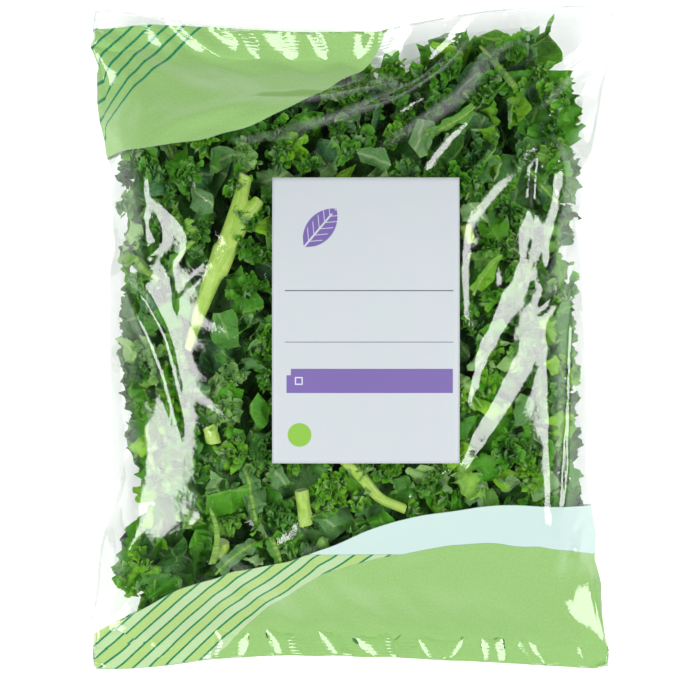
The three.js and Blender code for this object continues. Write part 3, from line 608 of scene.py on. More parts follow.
def fan(rng, Ls, W, h, roll, tone, under):
    """A strip of curled leaf margin: plain at its inner edge, ruffled ever tighter towards its toothed outer edge."""
    ns, nt = max(8, int(Ls * 1.3 / (h * 0.68))), max(4, int(W / (h * 2.4)))
    s, t = np.linspace(-Ls / 2, Ls / 2, ns + 1), np.linspace(0, 1, nt + 1) ** 0.8
    S, T = np.meshgrid(s, t, indexing="ij")
    a = (np.arange(ns)[:, None] * (nt + 1) + np.arange(nt)[None]).ravel()
    b, c, d = a + nt + 1, a + nt + 2, a + 1
    flip = ((a // (nt + 1) + a % (nt + 1)) % 2 == 0)[:, None]
    tris = np.concatenate([np.where(flip, np.stack([a, b, c], 1), np.stack([a, b, d], 1)), np.where(flip, np.stack([a, c, d], 1), np.stack([b, c, d], 1))])
    S, T = S.ravel(), T.ravel()
    saw = np.abs(((S / rng.uniform(1.0, 1.4) + rng.uniform(0, 1)) % 1) - 0.5) * 2
    lobes = 0.22 * np.sin(S / 1.9 + rng.uniform(0, 6)) + 0.12 * np.sin(S / 0.85 + rng.uniform(0, 6)) + 0.50 * (saw - 0.5)
    ends = 1 - 0.55 * np.clip((np.abs(S) - 0.30 * Ls) / (0.20 * Ls), 0, 1) ** 1.5
    Y = T * W * (1 + lobes * T) * ends
    q = np.zeros((len(S), 3))
    off, along_s = np.zeros(len(S)), np.zeros(len(S))
    for lam, A, power in ((rng.uniform(2.7, 4.0), 1.25, 1.1), (rng.uniform(1.35, 1.8), 0.75, 1.5), (rng.uniform(0.95, 1.15), 0.25, 2.0)):
        w = A * T ** power
        th = 2 * math.pi * S / lam + rng.uniform(0, 6) + 0.9 * np.sin(2 * math.pi * S / (lam * 2.3) + rng.uniform(0, 6)) + rng.uniform(-1.2, 1.2) * T
        off += w * np.sin(th)
        along_s += 0.8 * w * np.cos(th)
    t0 = 0.35 * W
    r = max(1e-3, (W - t0) / max(abs(roll), 1e-3))
    ang = np.maximum(Y - t0, 0) / r * np.sign(roll)
    # the strip fans out from a shorter inner edge
    x = (S + along_s) * (0.62 + 0.55 * T)
    q[:, 0] = x
    q[:, 1] = np.minimum(Y, t0) + r * np.sin(np.abs(ang)) - off * np.sin(ang)
    q[:, 2] = np.sign(roll) * r * (1 - np.cos(ang)) + off * np.cos(ang)
    flat = np.stack([S, Y + 1.6], 1)
    # the tone runs darker at the strip's inner edge and lighter towards its outer edge
    vals = np.stack([T ** 1.6, np.clip(tone * (0.45 + 0.75 * T), 0, 1), np.full(len(S), under), np.zeros(len(S))], 1)
    return q, tris, flat, vals


def frill_piece(rng, size, h, tone=0.6, under=0.0, fans=4):
    """A curly cut piece: a few fans of leaf margin that grow from one short rib, open side up."""
    out, base = [], 0
    turn0 = rng.uniform(0, 6.28)
    for k in range(fans):
        q, tris, flat, vals = fan(rng, size * rng.uniform(0.75, 1.15), rng.uniform(4.5, 7.0), h, rng.uniform(-0.6, 1.0), tone * rng.uniform(0.85, 1.12), under)
        q[:, 1] -= 2.0
        q = turn(q, rng.uniform(0.55, 1.45), rng.normal(0, 0.25), 0.0)
        q = turn(q, 0, 0, turn0 + rng.normal(0, 0.7) + (math.pi if k % 2 else 0))
        q = q + np.array([rng.normal(0, 1), rng.normal(0, 1), 0]) * size * 0.17
        q[:, 2] += rng.uniform(-1.2, 1.2)
        out.append((q, tris + base, flat + np.array([k * 7.0, 0]), vals))
        base += len(q)
    q, tris, flat, vals = (np.concatenate([o[i] for o in out]) for i in range(4))
    vals[:, 1] = np.clip(vals[:, 1], 0, 1)
    return q, tris, flat, vals, 0.0


def rib_piece(rng, L, r0, r1, wide, h, tone=0.4, under=0.6, angle=0.6, bend=0.3):
    """A length of rib or thin stalk with what the knife left of the blade on either side of it."""
    n = max(8, int(L / 0.9))
    s = np.linspace(-L / 2, L / 2, n)
    bow = bend * L * 0.25 * (1 - (2 * s / L) ** 2)
    sides = 9
    th = np.arange(sides) / sides * 2 * math.pi
    f = (s / L + 0.5)[:, None]
    r = (r0 + (r1 - r0) * f) * (1 + 0.06 * np.sin(th[None] * 3 + s[:, None] * 0.7))
    tube = np.stack([np.repeat(s, sides), (bow[:, None] + r * np.cos(th)).ravel(), (r * 0.85 * np.sin(th)).ravel()], 1)
    i, j = np.meshgrid(np.arange(n - 1), np.arange(sides), indexing="ij")
    a, b = (i * sides + j).ravel(), (i * sides + (j + 1) % sides).ravel()
    tris = np.concatenate([np.stack([a, b, b + sides], 1), np.stack([a, b + sides, a + sides], 1)])
    ends = [tube, np.array([[-L / 2, bow[0], 0], [L / 2, bow[-1], 0]])]
    m = len(tube)
    caps = np.array([[j2, m, (j2 + 1) % sides][::1] for j2 in range(sides)] + [[(n - 1) * sides + j2, (n - 1) * sides + (j2 + 1) % sides, m + 1] for j2 in range(sides)])
    pts, faces = [np.concatenate(ends)], [tris, caps]
    flats = [np.stack([np.r_[np.repeat(s, sides), 0, 0], np.full(m + 2, 0.1)], 1)]
    vals = [np.stack([np.zeros(m + 2), np.full(m + 2, tone), np.zeros(m + 2), np.ones(m + 2)], 1)]
    base = m + 2
    for way in (1, -1):
        if rng.random() < 0.12:
            continue
        w = wide * rng.uniform(0.5, 1.15)
        nt = max(3, int(w / h))
        ns = max(8, int(L / h))
        S, T = np.meshgrid(np.linspace(-L / 2 * rng.uniform(0.7, 0.98), L / 2 * rng.uniform(0.7, 0.98), ns + 1), np.linspace(0, 1, nt + 1), indexing="ij")
        c = (np.arange(ns)[:, None] * (nt + 1) + np.arange(nt)[None]).ravel()
        d, e, g = c + nt + 1, c + nt + 2, c + 1
        t2 = np.concatenate([np.stack([c, d, e], 1), np.stack([c, e, g], 1)])
        S, T = S.ravel(), T.ravel()
        # the outer edge is cut in a few straight lines
        knots = np.sort(rng.uniform(-L / 2, L / 2, 3))
        prof = np.interp(S, np.r_[-L / 2, knots, L / 2], rng.uniform(0.15, 1.0, 5) * np.array([0.4, 1, 1, 1, 0.4]))
        Y = T * w * prof
        wave = 0.35 * Y * np.sin(2 * math.pi * S / rng.uniform(7, 12) + rng.uniform(0, 6) + 1.1 * T) + 0.12 * Y * np.sin(2 * math.pi * S / rng.uniform(3, 4.5) + rng.uniform(0, 6))
        ang = angle * rng.uniform(0.4, 1.4)
        rr = (r0 + (r1 - r0) * (S / L + 0.5)) * 0.55
        y = way * (rr + Y * math.cos(ang))
        z = Y * math.sin(ang) + wave * math.cos(ang)
        y = y - way * wave * math.sin(ang) + np.interp(S, s, bow)
        pts.append(np.stack([S, y, z], 1))
        faces.append((t2 if way > 0 else t2[:, ::-1]) + base)
        flats.append(np.stack([S, way * (Y + 1.4)], 1))
        vals.append(np.stack([np.zeros(len(S)), np.full(len(S), tone), np.full(len(S), under), np.clip(1 - Y / 1.1, 0, 1) * 0.7], 1))
        base += len(S)
    return np.concatenate(pts), np.concatenate(faces), np.concatenate(flats), np.concatenate(vals), 0.0


def edge_value(n, tris):
    """1 on the piece's border points, 0 inside."""
    e = np.sort(np.concatenate([tris[:, [0, 1]], tris[:, [1, 2]], tris[:, [2, 0]]]), 1)
    key = e[:, 0].astype(np.int64) * n + e[:, 1]
    u, c = np.unique(key, return_counts=True)
    out = np.zeros(n)
    b = u[c == 1]
    out[b // n] = 1
    out[b % n] = 1
    return out


def turn(q, tilt_x, tilt_y, yaw):
    cx, sx, cy, sy, cz, sz = math.cos(tilt_x), math.sin(tilt_x), math.cos(tilt_y), math.sin(tilt_y), math.cos(yaw), math.sin(yaw)
    Rx = np.array([[1, 0, 0], [0, cx, -sx], [0, sx, cx]])
    Ry = np.array([[cy, 0, sy], [0, 1, 0], [-sy, 0, cy]])
    Rz = np.array([[cz, -sz, 0], [sz, cz, 0], [0, 0, 1]])
    return q @ (Rz @ Ry @ Rx).T


def side_limits(y):
    """How far the contents reach to the left and right: a ragged edge, with bare film beyond."""
    left = np.interp(y, [-128, -112, -96, -80, -60, -44, -22, 9, 40, 110], [-106, -107, -103, -97, -94, -98, -101, -103, -102, -104])
    right = np.interp(y, [-110, -60, -20, 20, 60, 100, 130], [103, 102, 101, 100, 101, 102, 96])
    rag = 1.5 * np.sin(1.05 * y) + 1.0 * np.sin(2.6 * y + 1) + 0.7 * np.sin(0.31 * y)
    return left + rag, right + 1.5 * np.sin(0.93 * y + 2) + 1.1 * np.sin(2.3 * y) + 0.8 * np.sin(0.27 * y + 1)


def settle(q, x0, y0, depth, front, H, soft=1.2, hold=()):
    """Puts a piece at its place, its nearest part at that depth from the film, and presses what would stick out flat against the film."""
    q = q.copy()
    q[:, 2] -= np.percentile(q[:, 2], 96) if front else np.percentile(q[:, 2], 4)
    q[:, 0] += x0
    q[:, 1] += y0
    l, r = side_limits(q[:, 1])
    q[:, 0] = np.clip(q[:, 0], l, r)
    top, bot = H(q[:, 0], q[:, 1], "top"), H(q[:, 0], q[:, 1], "bot")
    here = H(np.array([x0]), np.array([y0]), "top" if front else "bot")[0]
    wall = top if front else bot
    # the piece follows the film's lie, but not its small crinkles
    z = (0.75 * wall + 0.25 * here) + (q[:, 2] - depth if front else q[:, 2] + depth)
    hi, lo = top - 0.45, bot + 0.45
    over = z - (hi - soft)
    z = np.where(over > 0, hi - soft * np.exp(-np.clip(over, 0, 50) / soft), z)
    under = (lo + soft) - z
    z = np.where(under > 0, lo + soft * np.exp(-np.clip(under, 0, 50) / soft), z)
    # it passes below the stalks that lie at the front
    for line, radius in hold:
        d2 = ((q[:, None, :2] - line[None, :, :2]) ** 2).sum(-1)
        k = d2.argmin(1)
        d = np.sqrt(d2[np.arange(len(q)), k])
        r = radius[k]
        most = line[k, 2] - 0.75 * r + 3.2 * np.maximum(d - r * 0.9, 0)
        z = np.where(d < r + 4, np.minimum(z, np.maximum(most, lo)), z)
    z = np.where(hi < lo + 0.2, (hi + lo) / 2, np.clip(z, np.minimum(lo, hi), np.maximum(lo, hi)))
    q[:, 2] = z
    return q


def new_object(name, pts, tris, smooth=True):
    me = bpy.data.meshes.new(name)
    me.vertices.add(len(pts))
    me.vertices.foreach_set("co", (np.asarray(pts, float) * MM).astype(np.float32).ravel())
    n, k = len(tris), len(tris[0])
    me.loops.add(n * k)
    me.polygons.add(n)
    me.loops.foreach_set("vertex_index", np.asarray(tris, np.int32).ravel())
    me.polygons.foreach_set("loop_start", np.arange(0, n * k, k, dtype=np.int32))
    me.polygons.foreach_set("use_smooth", np.full(n, smooth))
    me.update(calc_edges=True)
    me.validate()
    ob = bpy.data.objects.new(name, me)
    bpy.context.scene.collection.objects.link(ob)
    return ob


def uv_layer(ob, name, uv):
    me = ob.data
    layer = me.uv_layers.new(name=name)
    idx = np.empty(len(me.loops), np.int32)
    me.loops.foreach_get("vertex_index", idx)
    layer.data.foreach_set("uv", np.asarray(uv, np.float32)[idx].ravel())


def point_value(ob, name, values):
    a = ob.data.attributes.new(name, "FLOAT", "POINT")
    a.data.foreach_set("value", np.asarray(values, np.float32))


def leaf_object(name, parts, material):
    """Joins made pieces of leaf into one object."""
    pts, tris, flats, vals, edge = [], [], [], [], []
    base = 0
    for k, (q, t, flat, v, mid) in enumerate(parts):
        pts.append(q)
        tris.append(t + base)
        base += len(q)
        # flat coordinates in units of 100 mm; the rib runs at 0.5
        flats.append(np.stack([0.5 + flat[:, 0] / 100 + 0.07 * k, 0.5 + (flat[:, 1] - mid) / 100], 1))
        vals.append(v)
        edge.append(edge_value(len(q), t))
    ob = new_object(name, np.concatenate(pts), np.concatenate(tris))
    uv_layer(ob, "flat", np.concatenate(flats))
    v = np.concatenate(vals)
    for i, n in enumerate(("rim", "tone", "under", "stalk")):
        point_value(ob, n, v[:, i])
    point_value(ob, "edge", np.concatenate(edge))
    ob.data.materials.append(material)
    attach(ob, "root")
    return ob

# ---------------------------------------------------------------- materials
def lin(r, g, b):
    f = lambda c: c / 12.92 if c <= 0.04045 else ((c + 0.055) / 1.055) ** 2.4
    return (f(r / 255), f(g / 255), f(b / 255), 1.0)


class Tree:
    """A short way to write a material's nodes: numbers, colours and sockets go in alike."""

    def __init__(self, name):
        self.mat = bpy.data.materials.new(name)
        self.mat.use_nodes = True
        self.t = self.mat.node_tree
        self.t.nodes.clear()

    def put(self, socket, value):
        if isinstance(value, bpy.types.NodeSocket):
            self.t.links.new(value, socket)
        elif value is not None:
            socket.default_value = value

    def node(self, kind, ins=None, **props):
        n = self.t.nodes.new("ShaderNode" + kind)
        for k, v in props.items():
            setattr(n, k, v)
        for k, v in (ins or {}).items():
            self.put(n.inputs[k], v)
        return n

    def m(self, op, *args, clamp=False):
        n = self.t.nodes.new("ShaderNodeMath")
        n.operation, n.use_clamp = op, clamp
        for s, a in zip(n.inputs, args):
            self.put(s, a)
        return n.outputs[0]

    def step(self, x, a, b, lo=0.0, hi=1.0):
        """0 below a, 1 above b, smooth between; a may be above b."""
        n = self.t.nodes.new("ShaderNodeMapRange")
        n.interpolation_type = "SMOOTHSTEP"
        if not isinstance(a, bpy.types.NodeSocket) and not isinstance(b, bpy.types.NodeSocket) and a > b:
            a, b, lo, hi = b, a, hi, lo
        for s, v in zip(n.inputs[:5], (x, a, b, lo, hi)):
            self.put(s, v)
        return n.outputs[0]

    def mix(self, f, a, b, blend="MIX"):
        n = self.t.nodes.new("ShaderNodeMix")
        n.data_type, n.blend_type = "RGBA", blend
        self.put(n.inputs[0], f)
        self.put(n.inputs[6], a)
        self.put(n.inputs[7], b)
        return n.outputs[2]

    def noise(self, vec, scale, detail=2.0, rough=0.5, distort=0.0):
        n = self.node("TexNoise", {"Vector": vec, "Scale": scale, "Detail": detail, "Roughness": rough, "Distortion": distort})
        return n.outputs["Fac"]

    def curve(self, x, points, sx, sy):
        """y(x) by straight pieces through points: x is in mm and so is the result."""
        n = self.node("FloatCurve")
        c = n.mapping.curves[0]
        pts = [(px / sx, py / sy) for px, py in points]
        c.points[0].location, c.points[1].location = pts[0], pts[-1]
        for p in pts[1:-1]:
            c.points.new(*p)
        for p in c.points:
            p.handle_type = "AUTO_CLAMPED"
        n.mapping.update()
        self.put(n.inputs["Value"], self.m("DIVIDE", x, sx))
        return self.m("MULTIPLY", n.outputs[0], sy)

    def mixsh(self, f, a, b):
        n = self.t.nodes.new("ShaderNodeMixShader")
        self.put(n.inputs[0], f)
        self.put(n.inputs[1], a)
        self.put(n.inputs[2], b)
        return n.outputs[0]

    def end(self, shader):
        o = self.t.nodes.new("ShaderNodeOutputMaterial")
        self.t.links.new(shader, o.inputs["Surface"])
        return self.mat


GREEN, LIME, MINT = lin(158, 204, 122), lin(184, 217, 132), lin(205, 232, 196)
PALE_BLUE, LINE = lin(213, 237, 233), lin(20, 138, 92)

WEDGE_LOWER = [(0, 231.0), (16.8, 233.3), (30.6, 234.2), (42.5, 236.2), (54.3, 238.1), (65.2, 242.0), (76.0, 245.9), (84.9, 251.7), (94.8, 259.4), (102.7, 267.2), (111.6, 276.8), (123.4, 284.6), (131.3, 294.3), (137.3, 302.0), (237, 302.0)]
WEDGE_TOP = [(0, 292.3), (9.9, 294.3), (21.7, 297.2), (38.5, 300.1), (55, 302.0), (237, 302.0)]
LIME_TOP = [(0, 16.5), (11.9, 22.3), (24.7, 28.1), (42.5, 36.8), (59.2, 41.6), (75.0, 46.5), (90.8, 49.4), (101.7, 52.3), (125, 53.0), (142.2, 53.2), (237, 20)]
FIELD_TOP = [(0, 0), (48.4, 0), (56.3, 2.5), (68.1, 12.6), (82.0, 24.2), (97.8, 35.8), (115.5, 45.5), (129.4, 50.3), (142.2, 53.2), (157.0, 57.1), (169.8, 59.0), (181.7, 60.0), (191.6, 59.0), (204.4, 58.1), (237.0, 53.2)]
BLUE_TOP = [(0, 0), (90, 44), (101.7, 52.3), (116.5, 59.0), (132.3, 66.8), (148.1, 71.6), (164.9, 74.5), (176.8, 76.5), (189.6, 77.4), (207.4, 76.5), (237.0, 75.5)]


def film_material():
    k = Tree("clear_printed_film")
    uv = k.node("UVMap", uv_map="flat").outputs[0]
    sep = k.node("SeparateXYZ", {0: uv})
    full = k.m("MULTIPLY", sep.outputs[0], 1000.0)
    v = k.m("MULTIPLY", sep.outputs[1], 1000.0)
    u = k.m("MINIMUM", full, k.m("SUBTRACT", 2 * FLAT_W, full))
    soft = 0.25
    under = lambda top, lo=0.0, hi=1.0: k.step(k.m("SUBTRACT", top, v), -soft, soft)
    lower = k.curve(u, WEDGE_LOWER, FLAT_W, FLAT_H)
    upper = k.curve(u, WEDGE_TOP, FLAT_W, FLAT_H)
    wedge = k.m("MULTIPLY", k.m("SUBTRACT", 1.0, under(lower)), under(upper))
    wedge = k.m("MULTIPLY", wedge, k.step(u, 139.0, 137.0))
    field = under(k.curve(u, FIELD_TOP, FLAT_W, 100.0))
    lime = k.m("MULTIPLY", under(k.curve(u, LIME_TOP, FLAT_W, 100.0)), k.m("SUBTRACT", 1.0, field))
    blue = k.m("MULTIPLY", under(k.curve(u, BLUE_TOP, FLAT_W, 100.0)), k.step(u, 88.0, 92.0))
    blue = k.m("MULTIPLY", blue, k.m("SUBTRACT", 1.0, k.m("MAXIMUM", field, lime)))
    # plain slanting lines on the wedge's corner and on the foot's lighter band
    c1 = k.m("SUBTRACT", k.m("MULTIPLY", u, 0.785), k.m("MULTIPLY", v, 0.62))
    saw1 = k.m("ABSOLUTE", k.m("SUBTRACT", k.m("FRACT", k.m("DIVIDE", k.m("ADD", c1, 500.0), 5.2)), 0.5))
    line1 = k.m("MULTIPLY", k.step(saw1, 0.120, 0.088), k.m("MULTIPLY", k.step(c1, -146.5, -148.0), wedge))
    c2 = k.m("SUBTRACT", k.m("MULTIPLY", u, 0.62), k.m("MULTIPLY", v, 0.78))
    ph2 = k.m("DIVIDE", k.m("ADD", c2, 500.0), 4.75)
    saw2 = k.m("ABSOLUTE", k.m("SUBTRACT", k.m("FRACT", ph2), 0.5))
    line2 = k.m("MULTIPLY", k.step(saw2, 0.112, 0.078), lime)
    gap = k.m("FRACT", k.m("MULTIPLY", k.m("FLOOR", k.m("SUBTRACT", ph2, 0.5)), 0.5))
    ink = k.mix(wedge, PALE_BLUE, GREEN)
    ink = k.mix(field, ink, GREEN)
    ink = k.mix(lime, ink, k.mix(k.m("MULTIPLY", gap, 1.1), LIME, MINT))
    ink = k.mix(k.m("MAXIMUM", line1, line2), ink, LINE)
    mask = k.m("MAXIMUM", k.m("MAXIMUM", wedge, field), k.m("MAXIMUM", lime, blue))
    mm_uv = k.node("Mapping", {0: uv, 3: (1000, 1000, 1000)}).outputs[0]
    fine = k.noise(mm_uv, 0.9, 4.0, 0.6)
    broad = k.noise(mm_uv, 0.08, 3.0, 0.55)
    ink = k.mix(k.step(fine, 0.35, 0.75, 0.0, 0.10), ink, (0.86, 0.92, 0.80, 1))
    # crimped seals at both ends
    in_seal = k.m("MAXIMUM", k.step(v, SEAL + 0.4, SEAL - 0.4), k.step(v, FLAT_H - SEAL - 0.4, FLAT_H - SEAL + 0.4))
    rib = k.m("MULTIPLY", k.m("SINE", k.m("MULTIPLY", v, 2 * math.pi / 1.5)), in_seal)
    h = k.m("ADD", k.m("MULTIPLY", rib, 0.05), k.m("ADD", k.m("MULTIPLY", fine, 0.05), k.m("MULTIPLY", broad, 0.6)))
    bump = k.node("Bump", {"Strength": 0.55, "Distance": 0.001, "Height": h}).outputs[0]
    gloss = k.node("BsdfGlossy", {"Color": (1, 1, 1, 1), "Roughness": 0.07, "Normal": bump}).outputs[0]
    haze = k.node("BsdfGlossy", {"Color": (1, 1, 1, 1), "Roughness": 0.22, "Normal": bump}).outputs[0]
    shine = k.mixsh(0.03, gloss, haze)
    fres = k.node("Fresnel", {"IOR": 1.5, "Normal": bump}).outputs[0]
    clear = k.node("BsdfTransparent", {"Color": (0.985, 0.992, 0.988, 1)}).outputs[0]
    milk = k.node("BsdfDiffuse", {"Color": (0.86, 0.88, 0.87, 1)}).outputs[0]
    clear = k.mixsh(k.m("ADD", k.m("MULTIPLY", in_seal, 0.16), 0.0008), clear, milk)
    gloss_share = k.m("MULTIPLY_ADD", fres, 0.28, 0.080)
    clear = k.mixsh(gloss_share, clear, shine)
    solid = k.node("BsdfDiffuse", {"Color": ink, "Normal": bump}).outputs[0]
    glow = k.node("BsdfTranslucent", {"Color": ink}).outputs[0]
    inked = k.mixsh(0.22, solid, glow)
    inked = k.mixsh(k.m("MULTIPLY", gloss_share, 0.8), inked, shine)
    return k.end(k.mixsh(mask, clear, inked))


def label_material():
    k = Tree("label_paper")
    uv = k.node("UVMap", uv_map="flat").outputs[0]
    sep = k.node("SeparateXYZ", {0: uv})
    x = k.m("MULTIPLY", sep.outputs[0], 1000.0)
    y = k.m("MULTIPLY", sep.outputs[1], 1000.0)
    s = 0.12
    box = lambda x0, x1, y0, y1: k.m("MULTIPLY", k.m("MULTIPLY", k.step(x, x0 - s, x0 + s), k.step(x, x1 + s, x1 - s)), k.m("MULTIPLY", k.step(y, y0 - s, y0 + s), k.step(y, y1 + s, y1 - s)))
    mm_uv = k.node("Mapping", {0: uv, 3: (1000, 1000, 1000)}).outputs[0]
    fibre = k.noise(mm_uv, 3.0, 5.0, 0.65)
    cloud = k.noise(mm_uv, 0.05, 2.0, 0.5)
    paper = k.mix(k.step(cloud, 0.3, 0.7, 0.0, 0.35), lin(187, 195, 197), lin(192, 192, 204))
    paper = k.mix(k.step(fibre, 0.4, 0.7, 0.0, 0.10), paper, lin(176, 184, 190))
    # a plain leaf: two arcs that meet at its ends, with its rib and side veins left pale
    lx, ly = k.m("SUBTRACT", x, 21.0), k.m("SUBTRACT", y, 103.0)
    ca, sa = math.cos(math.radians(50)), math.sin(math.radians(50))
    a = k.m("ADD", k.m("MULTIPLY", lx, ca), k.m("MULTIPLY", ly, sa))
    b = k.m("SUBTRACT", k.m("MULTIPLY", ly, ca), k.m("MULTIPLY", lx, sa))
    r, off = 13.4, 7.6
    d1 = k.m("SQRT", k.m("ADD", k.m("MULTIPLY", a, a), k.m("POWER", k.m("ADD", b, off), 2.0)))
    d2 = k.m("SQRT", k.m("ADD", k.m("MULTIPLY", a, a), k.m("POWER", k.m("SUBTRACT", b, off), 2.0)))
    leaf = k.m("MULTIPLY", k.step(d1, r + s, r - s), k.step(d2, r + s, r - s))
    ribs = k.m("ABSOLUTE", b)
    rib = k.m("MULTIPLY", k.step(ribs, 0.5, 0.3), k.step(a, 8.5, 7.5))
    side = k.m("ABSOLUTE", k.m("SUBTRACT", k.m("FRACT", k.m("DIVIDE", k.m("ADD", k.m("SUBTRACT", a, ribs), 60.0), 3.6)), 0.5))
    veins = k.m("MULTIPLY", k.step(side, 0.08, 0.04), k.step(ribs, 4.6, 4.0))
    leaf = k.m("MULTIPLY", leaf, k.m("SUBTRACT", 1.0, k.m("MAXIMUM", rib, veins)))
    purple = lin(110, 92, 156)
    bar = k.m("MULTIPLY", box(6.3, 79.0, 30.8, 41.4), k.m("SUBTRACT", 1.0, box(4.0, 8.2, 38.6, 42.5)))
    tick = k.m("MULTIPLY", box(10.0, 13.4, 34.4, 37.8), k.m("SUBTRACT", 1.0, box(10.5, 12.9, 34.9, 37.3)))
    rules = k.m("MAXIMUM", box(5.6, 79.2, 75.3, 75.75), box(5.6, 79.2, 52.9, 53.2))
    dot = k.m("SQRT", k.m("ADD", k.m("POWER", k.m("SUBTRACT", x, 12.0), 2.0), k.m("POWER", k.m("SUBTRACT", y, 12.5), 2.0)))
    col = k.mix(rules, paper, lin(84, 86, 100))
    col = k.mix(leaf, col, purple)
    col = k.mix(bar, col, k.mix(k.step(fibre, 0.4, 0.8, 0.0, 0.12), purple, lin(140, 126, 178)))
    col = k.mix(tick, col, lin(205, 207, 218))
    col = k.mix(k.step(dot, 5.3, 5.1), col, lin(128, 178, 60))
    bump = k.node("Bump", {"Strength": 0.12, "Distance": 0.0002, "Height": fibre}).outputs[0]
    p = k.node("BsdfPrincipled", {"Base Color": col, "Roughness": 0.46, "Normal": bump})
    p.inputs["Specular IOR Level"].default_value = 0.42
    return k.end(p.outputs[0])


def leaf_material():
    k = Tree("kale_leaf")
    uv = k.node("UVMap", uv_map="flat").outputs[0]
    sep = k.node("SeparateXYZ", {0: uv})
    mm = k.node("Mapping", {0: uv, 3: (100, 100, 100)}).outputs[0]
    warp = k.node("TexNoise", {"Vector": mm, "Scale": 0.22, "Detail": 3.0})
    bent = k.node("VectorMath", {0: mm, 1: k.node("VectorMath", {0: k.node("VectorMath", {0: warp.outputs["Color"], 1: (0.5, 0.5, 0.5)}, operation="SUBTRACT").outputs[0], 3: 3.2}, operation="SCALE").outputs[0]}, operation="ADD").outputs[0]
    sb = k.node("SeparateXYZ", {0: bent})
    x, y = sb.outputs[0], k.m("SUBTRACT", sb.outputs[1], 50.0)
    ay = k.m("ABSOLUTE", y)
    att = lambda n: k.node("Attribute", attribute_name=n).outputs["Fac"]
    rim, tone, under, edge, stalk = att("rim"), att("tone"), att("under"), att("edge"), att("stalk")
    rib = k.step(ay, 0.95, 0.3)
    # side veins leave the rib at a slant and thin out
    sv = k.m("DIVIDE", k.m("SUBTRACT", x, k.m("MULTIPLY", ay, 0.85)), 8.5)
    sv = k.m("ADD", sv, k.m("MULTIPLY", k.m("SIGN", y), 0.23))
    d = k.m("MULTIPLY", k.m("ABSOLUTE", k.m("SUBTRACT", k.m("FRACT", sv), 0.5)), 8.5)
    side = k.step(d, 0.40, 0.08)
    side = k.m("MULTIPLY", side, k.step(ay, 22.0, 4.0, 0.25, 1.0))
    net = k.node("TexVoronoi", {"Vector": bent, "Scale": 0.30}, feature="DISTANCE_TO_EDGE").outputs["Distance"]
    net2 = k.node("TexVoronoi", {"Vector": bent, "Scale": 0.85}, feature="DISTANCE_TO_EDGE").outputs["Distance"]
    vein = k.m("MAXIMUM", k.m("MAXIMUM", rib, k.m("MULTIPLY", side, 0.6)), k.m("ADD", k.m("MULTIPLY", k.step(net, 0.08, 0.02), 0.20), k.m("MULTIPLY", k.step(net2, 0.12, 0.03), 0.05)))
    n1 = k.noise(mm, 0.09, 3.0, 0.6)
    n2 = k.noise(mm, 0.7, 4.0, 0.6)
    up = k.mix(k.step(tone, 0.0, 0.5), lin(6, 58, 22), lin(70, 152, 28))
    up = k.mix(k.step(tone, 0.5, 1.0), up, lin(158, 216, 50))
    up = k.mix(k.step(n1, 0.35, 0.7, 0.0, 0.35), up, lin(100, 180, 34))
    up = k.mix(k.step(n2, 0.45, 0.8, 0.0, 0.30), up, lin(22, 84, 34))
    up = k.mix(k.m("MULTIPLY", rim, 0.55), up, lin(84, 166, 28))
    lo = k.mix(k.step(tone, 0.0, 1.0), lin(62, 122, 72), lin(160, 200, 128))
    lo = k.mix(k.step(n2, 0.4, 0.8, 0.0, 0.3), lo, lin(80, 138, 80))
    back = k.node("NewGeometry").outputs["Backfacing"]
    which = k.m("ABSOLUTE", k.m("SUBTRACT", back, under))
    base = k.mix(which, up, lo)
    pale = k.mix(which, lin(160, 200, 96), lin(198, 220, 168))
    col = k.mix(k.m("MULTIPLY", vein, k.m("ADD", 0.34, k.m("MULTIPLY", which, 0.16))), base, pale)
    col = k.mix(k.m("MULTIPLY", k.m("POWER", edge, 2.0), 0.25), col, lin(150, 204, 80))
    col = k.mix(stalk, col, k.mix(k.step(n2, 0.35, 0.7), lin(120, 172, 70), lin(176, 210, 106)))
    # puckered between the veins, with the rib and side veins standing out below and sunk above
    h = k.m("ADD", k.m("MULTIPLY", k.step(net, 0.0, 0.32), 0.35), k.m("SUBTRACT", k.m("MULTIPLY", n2, 0.25), k.m("MULTIPLY", k.m("MAXIMUM", rib, side), 0.35)))
    bump = k.node("Bump", {"Strength": 0.75, "Distance": 0.0006, "Height": h}).outputs[0]
    wax = k.m("ADD", 0.42, k.m("ADD", k.m("MULTIPLY", which, 0.22), k.m("MULTIPLY", n1, 0.16)))
    p = k.node("BsdfPrincipled", {"Base Color": col, "Roughness": wax, "Normal": bump})
    p.inputs["Specular IOR Level"].default_value = 0.32
    through = k.mix(0.5, col, lin(150, 220, 20))
    t = k.node("BsdfTranslucent", {"Color": through, "Normal": bump}).outputs[0]
    return k.end(k.mixsh(0.17, p.outputs[0], t))


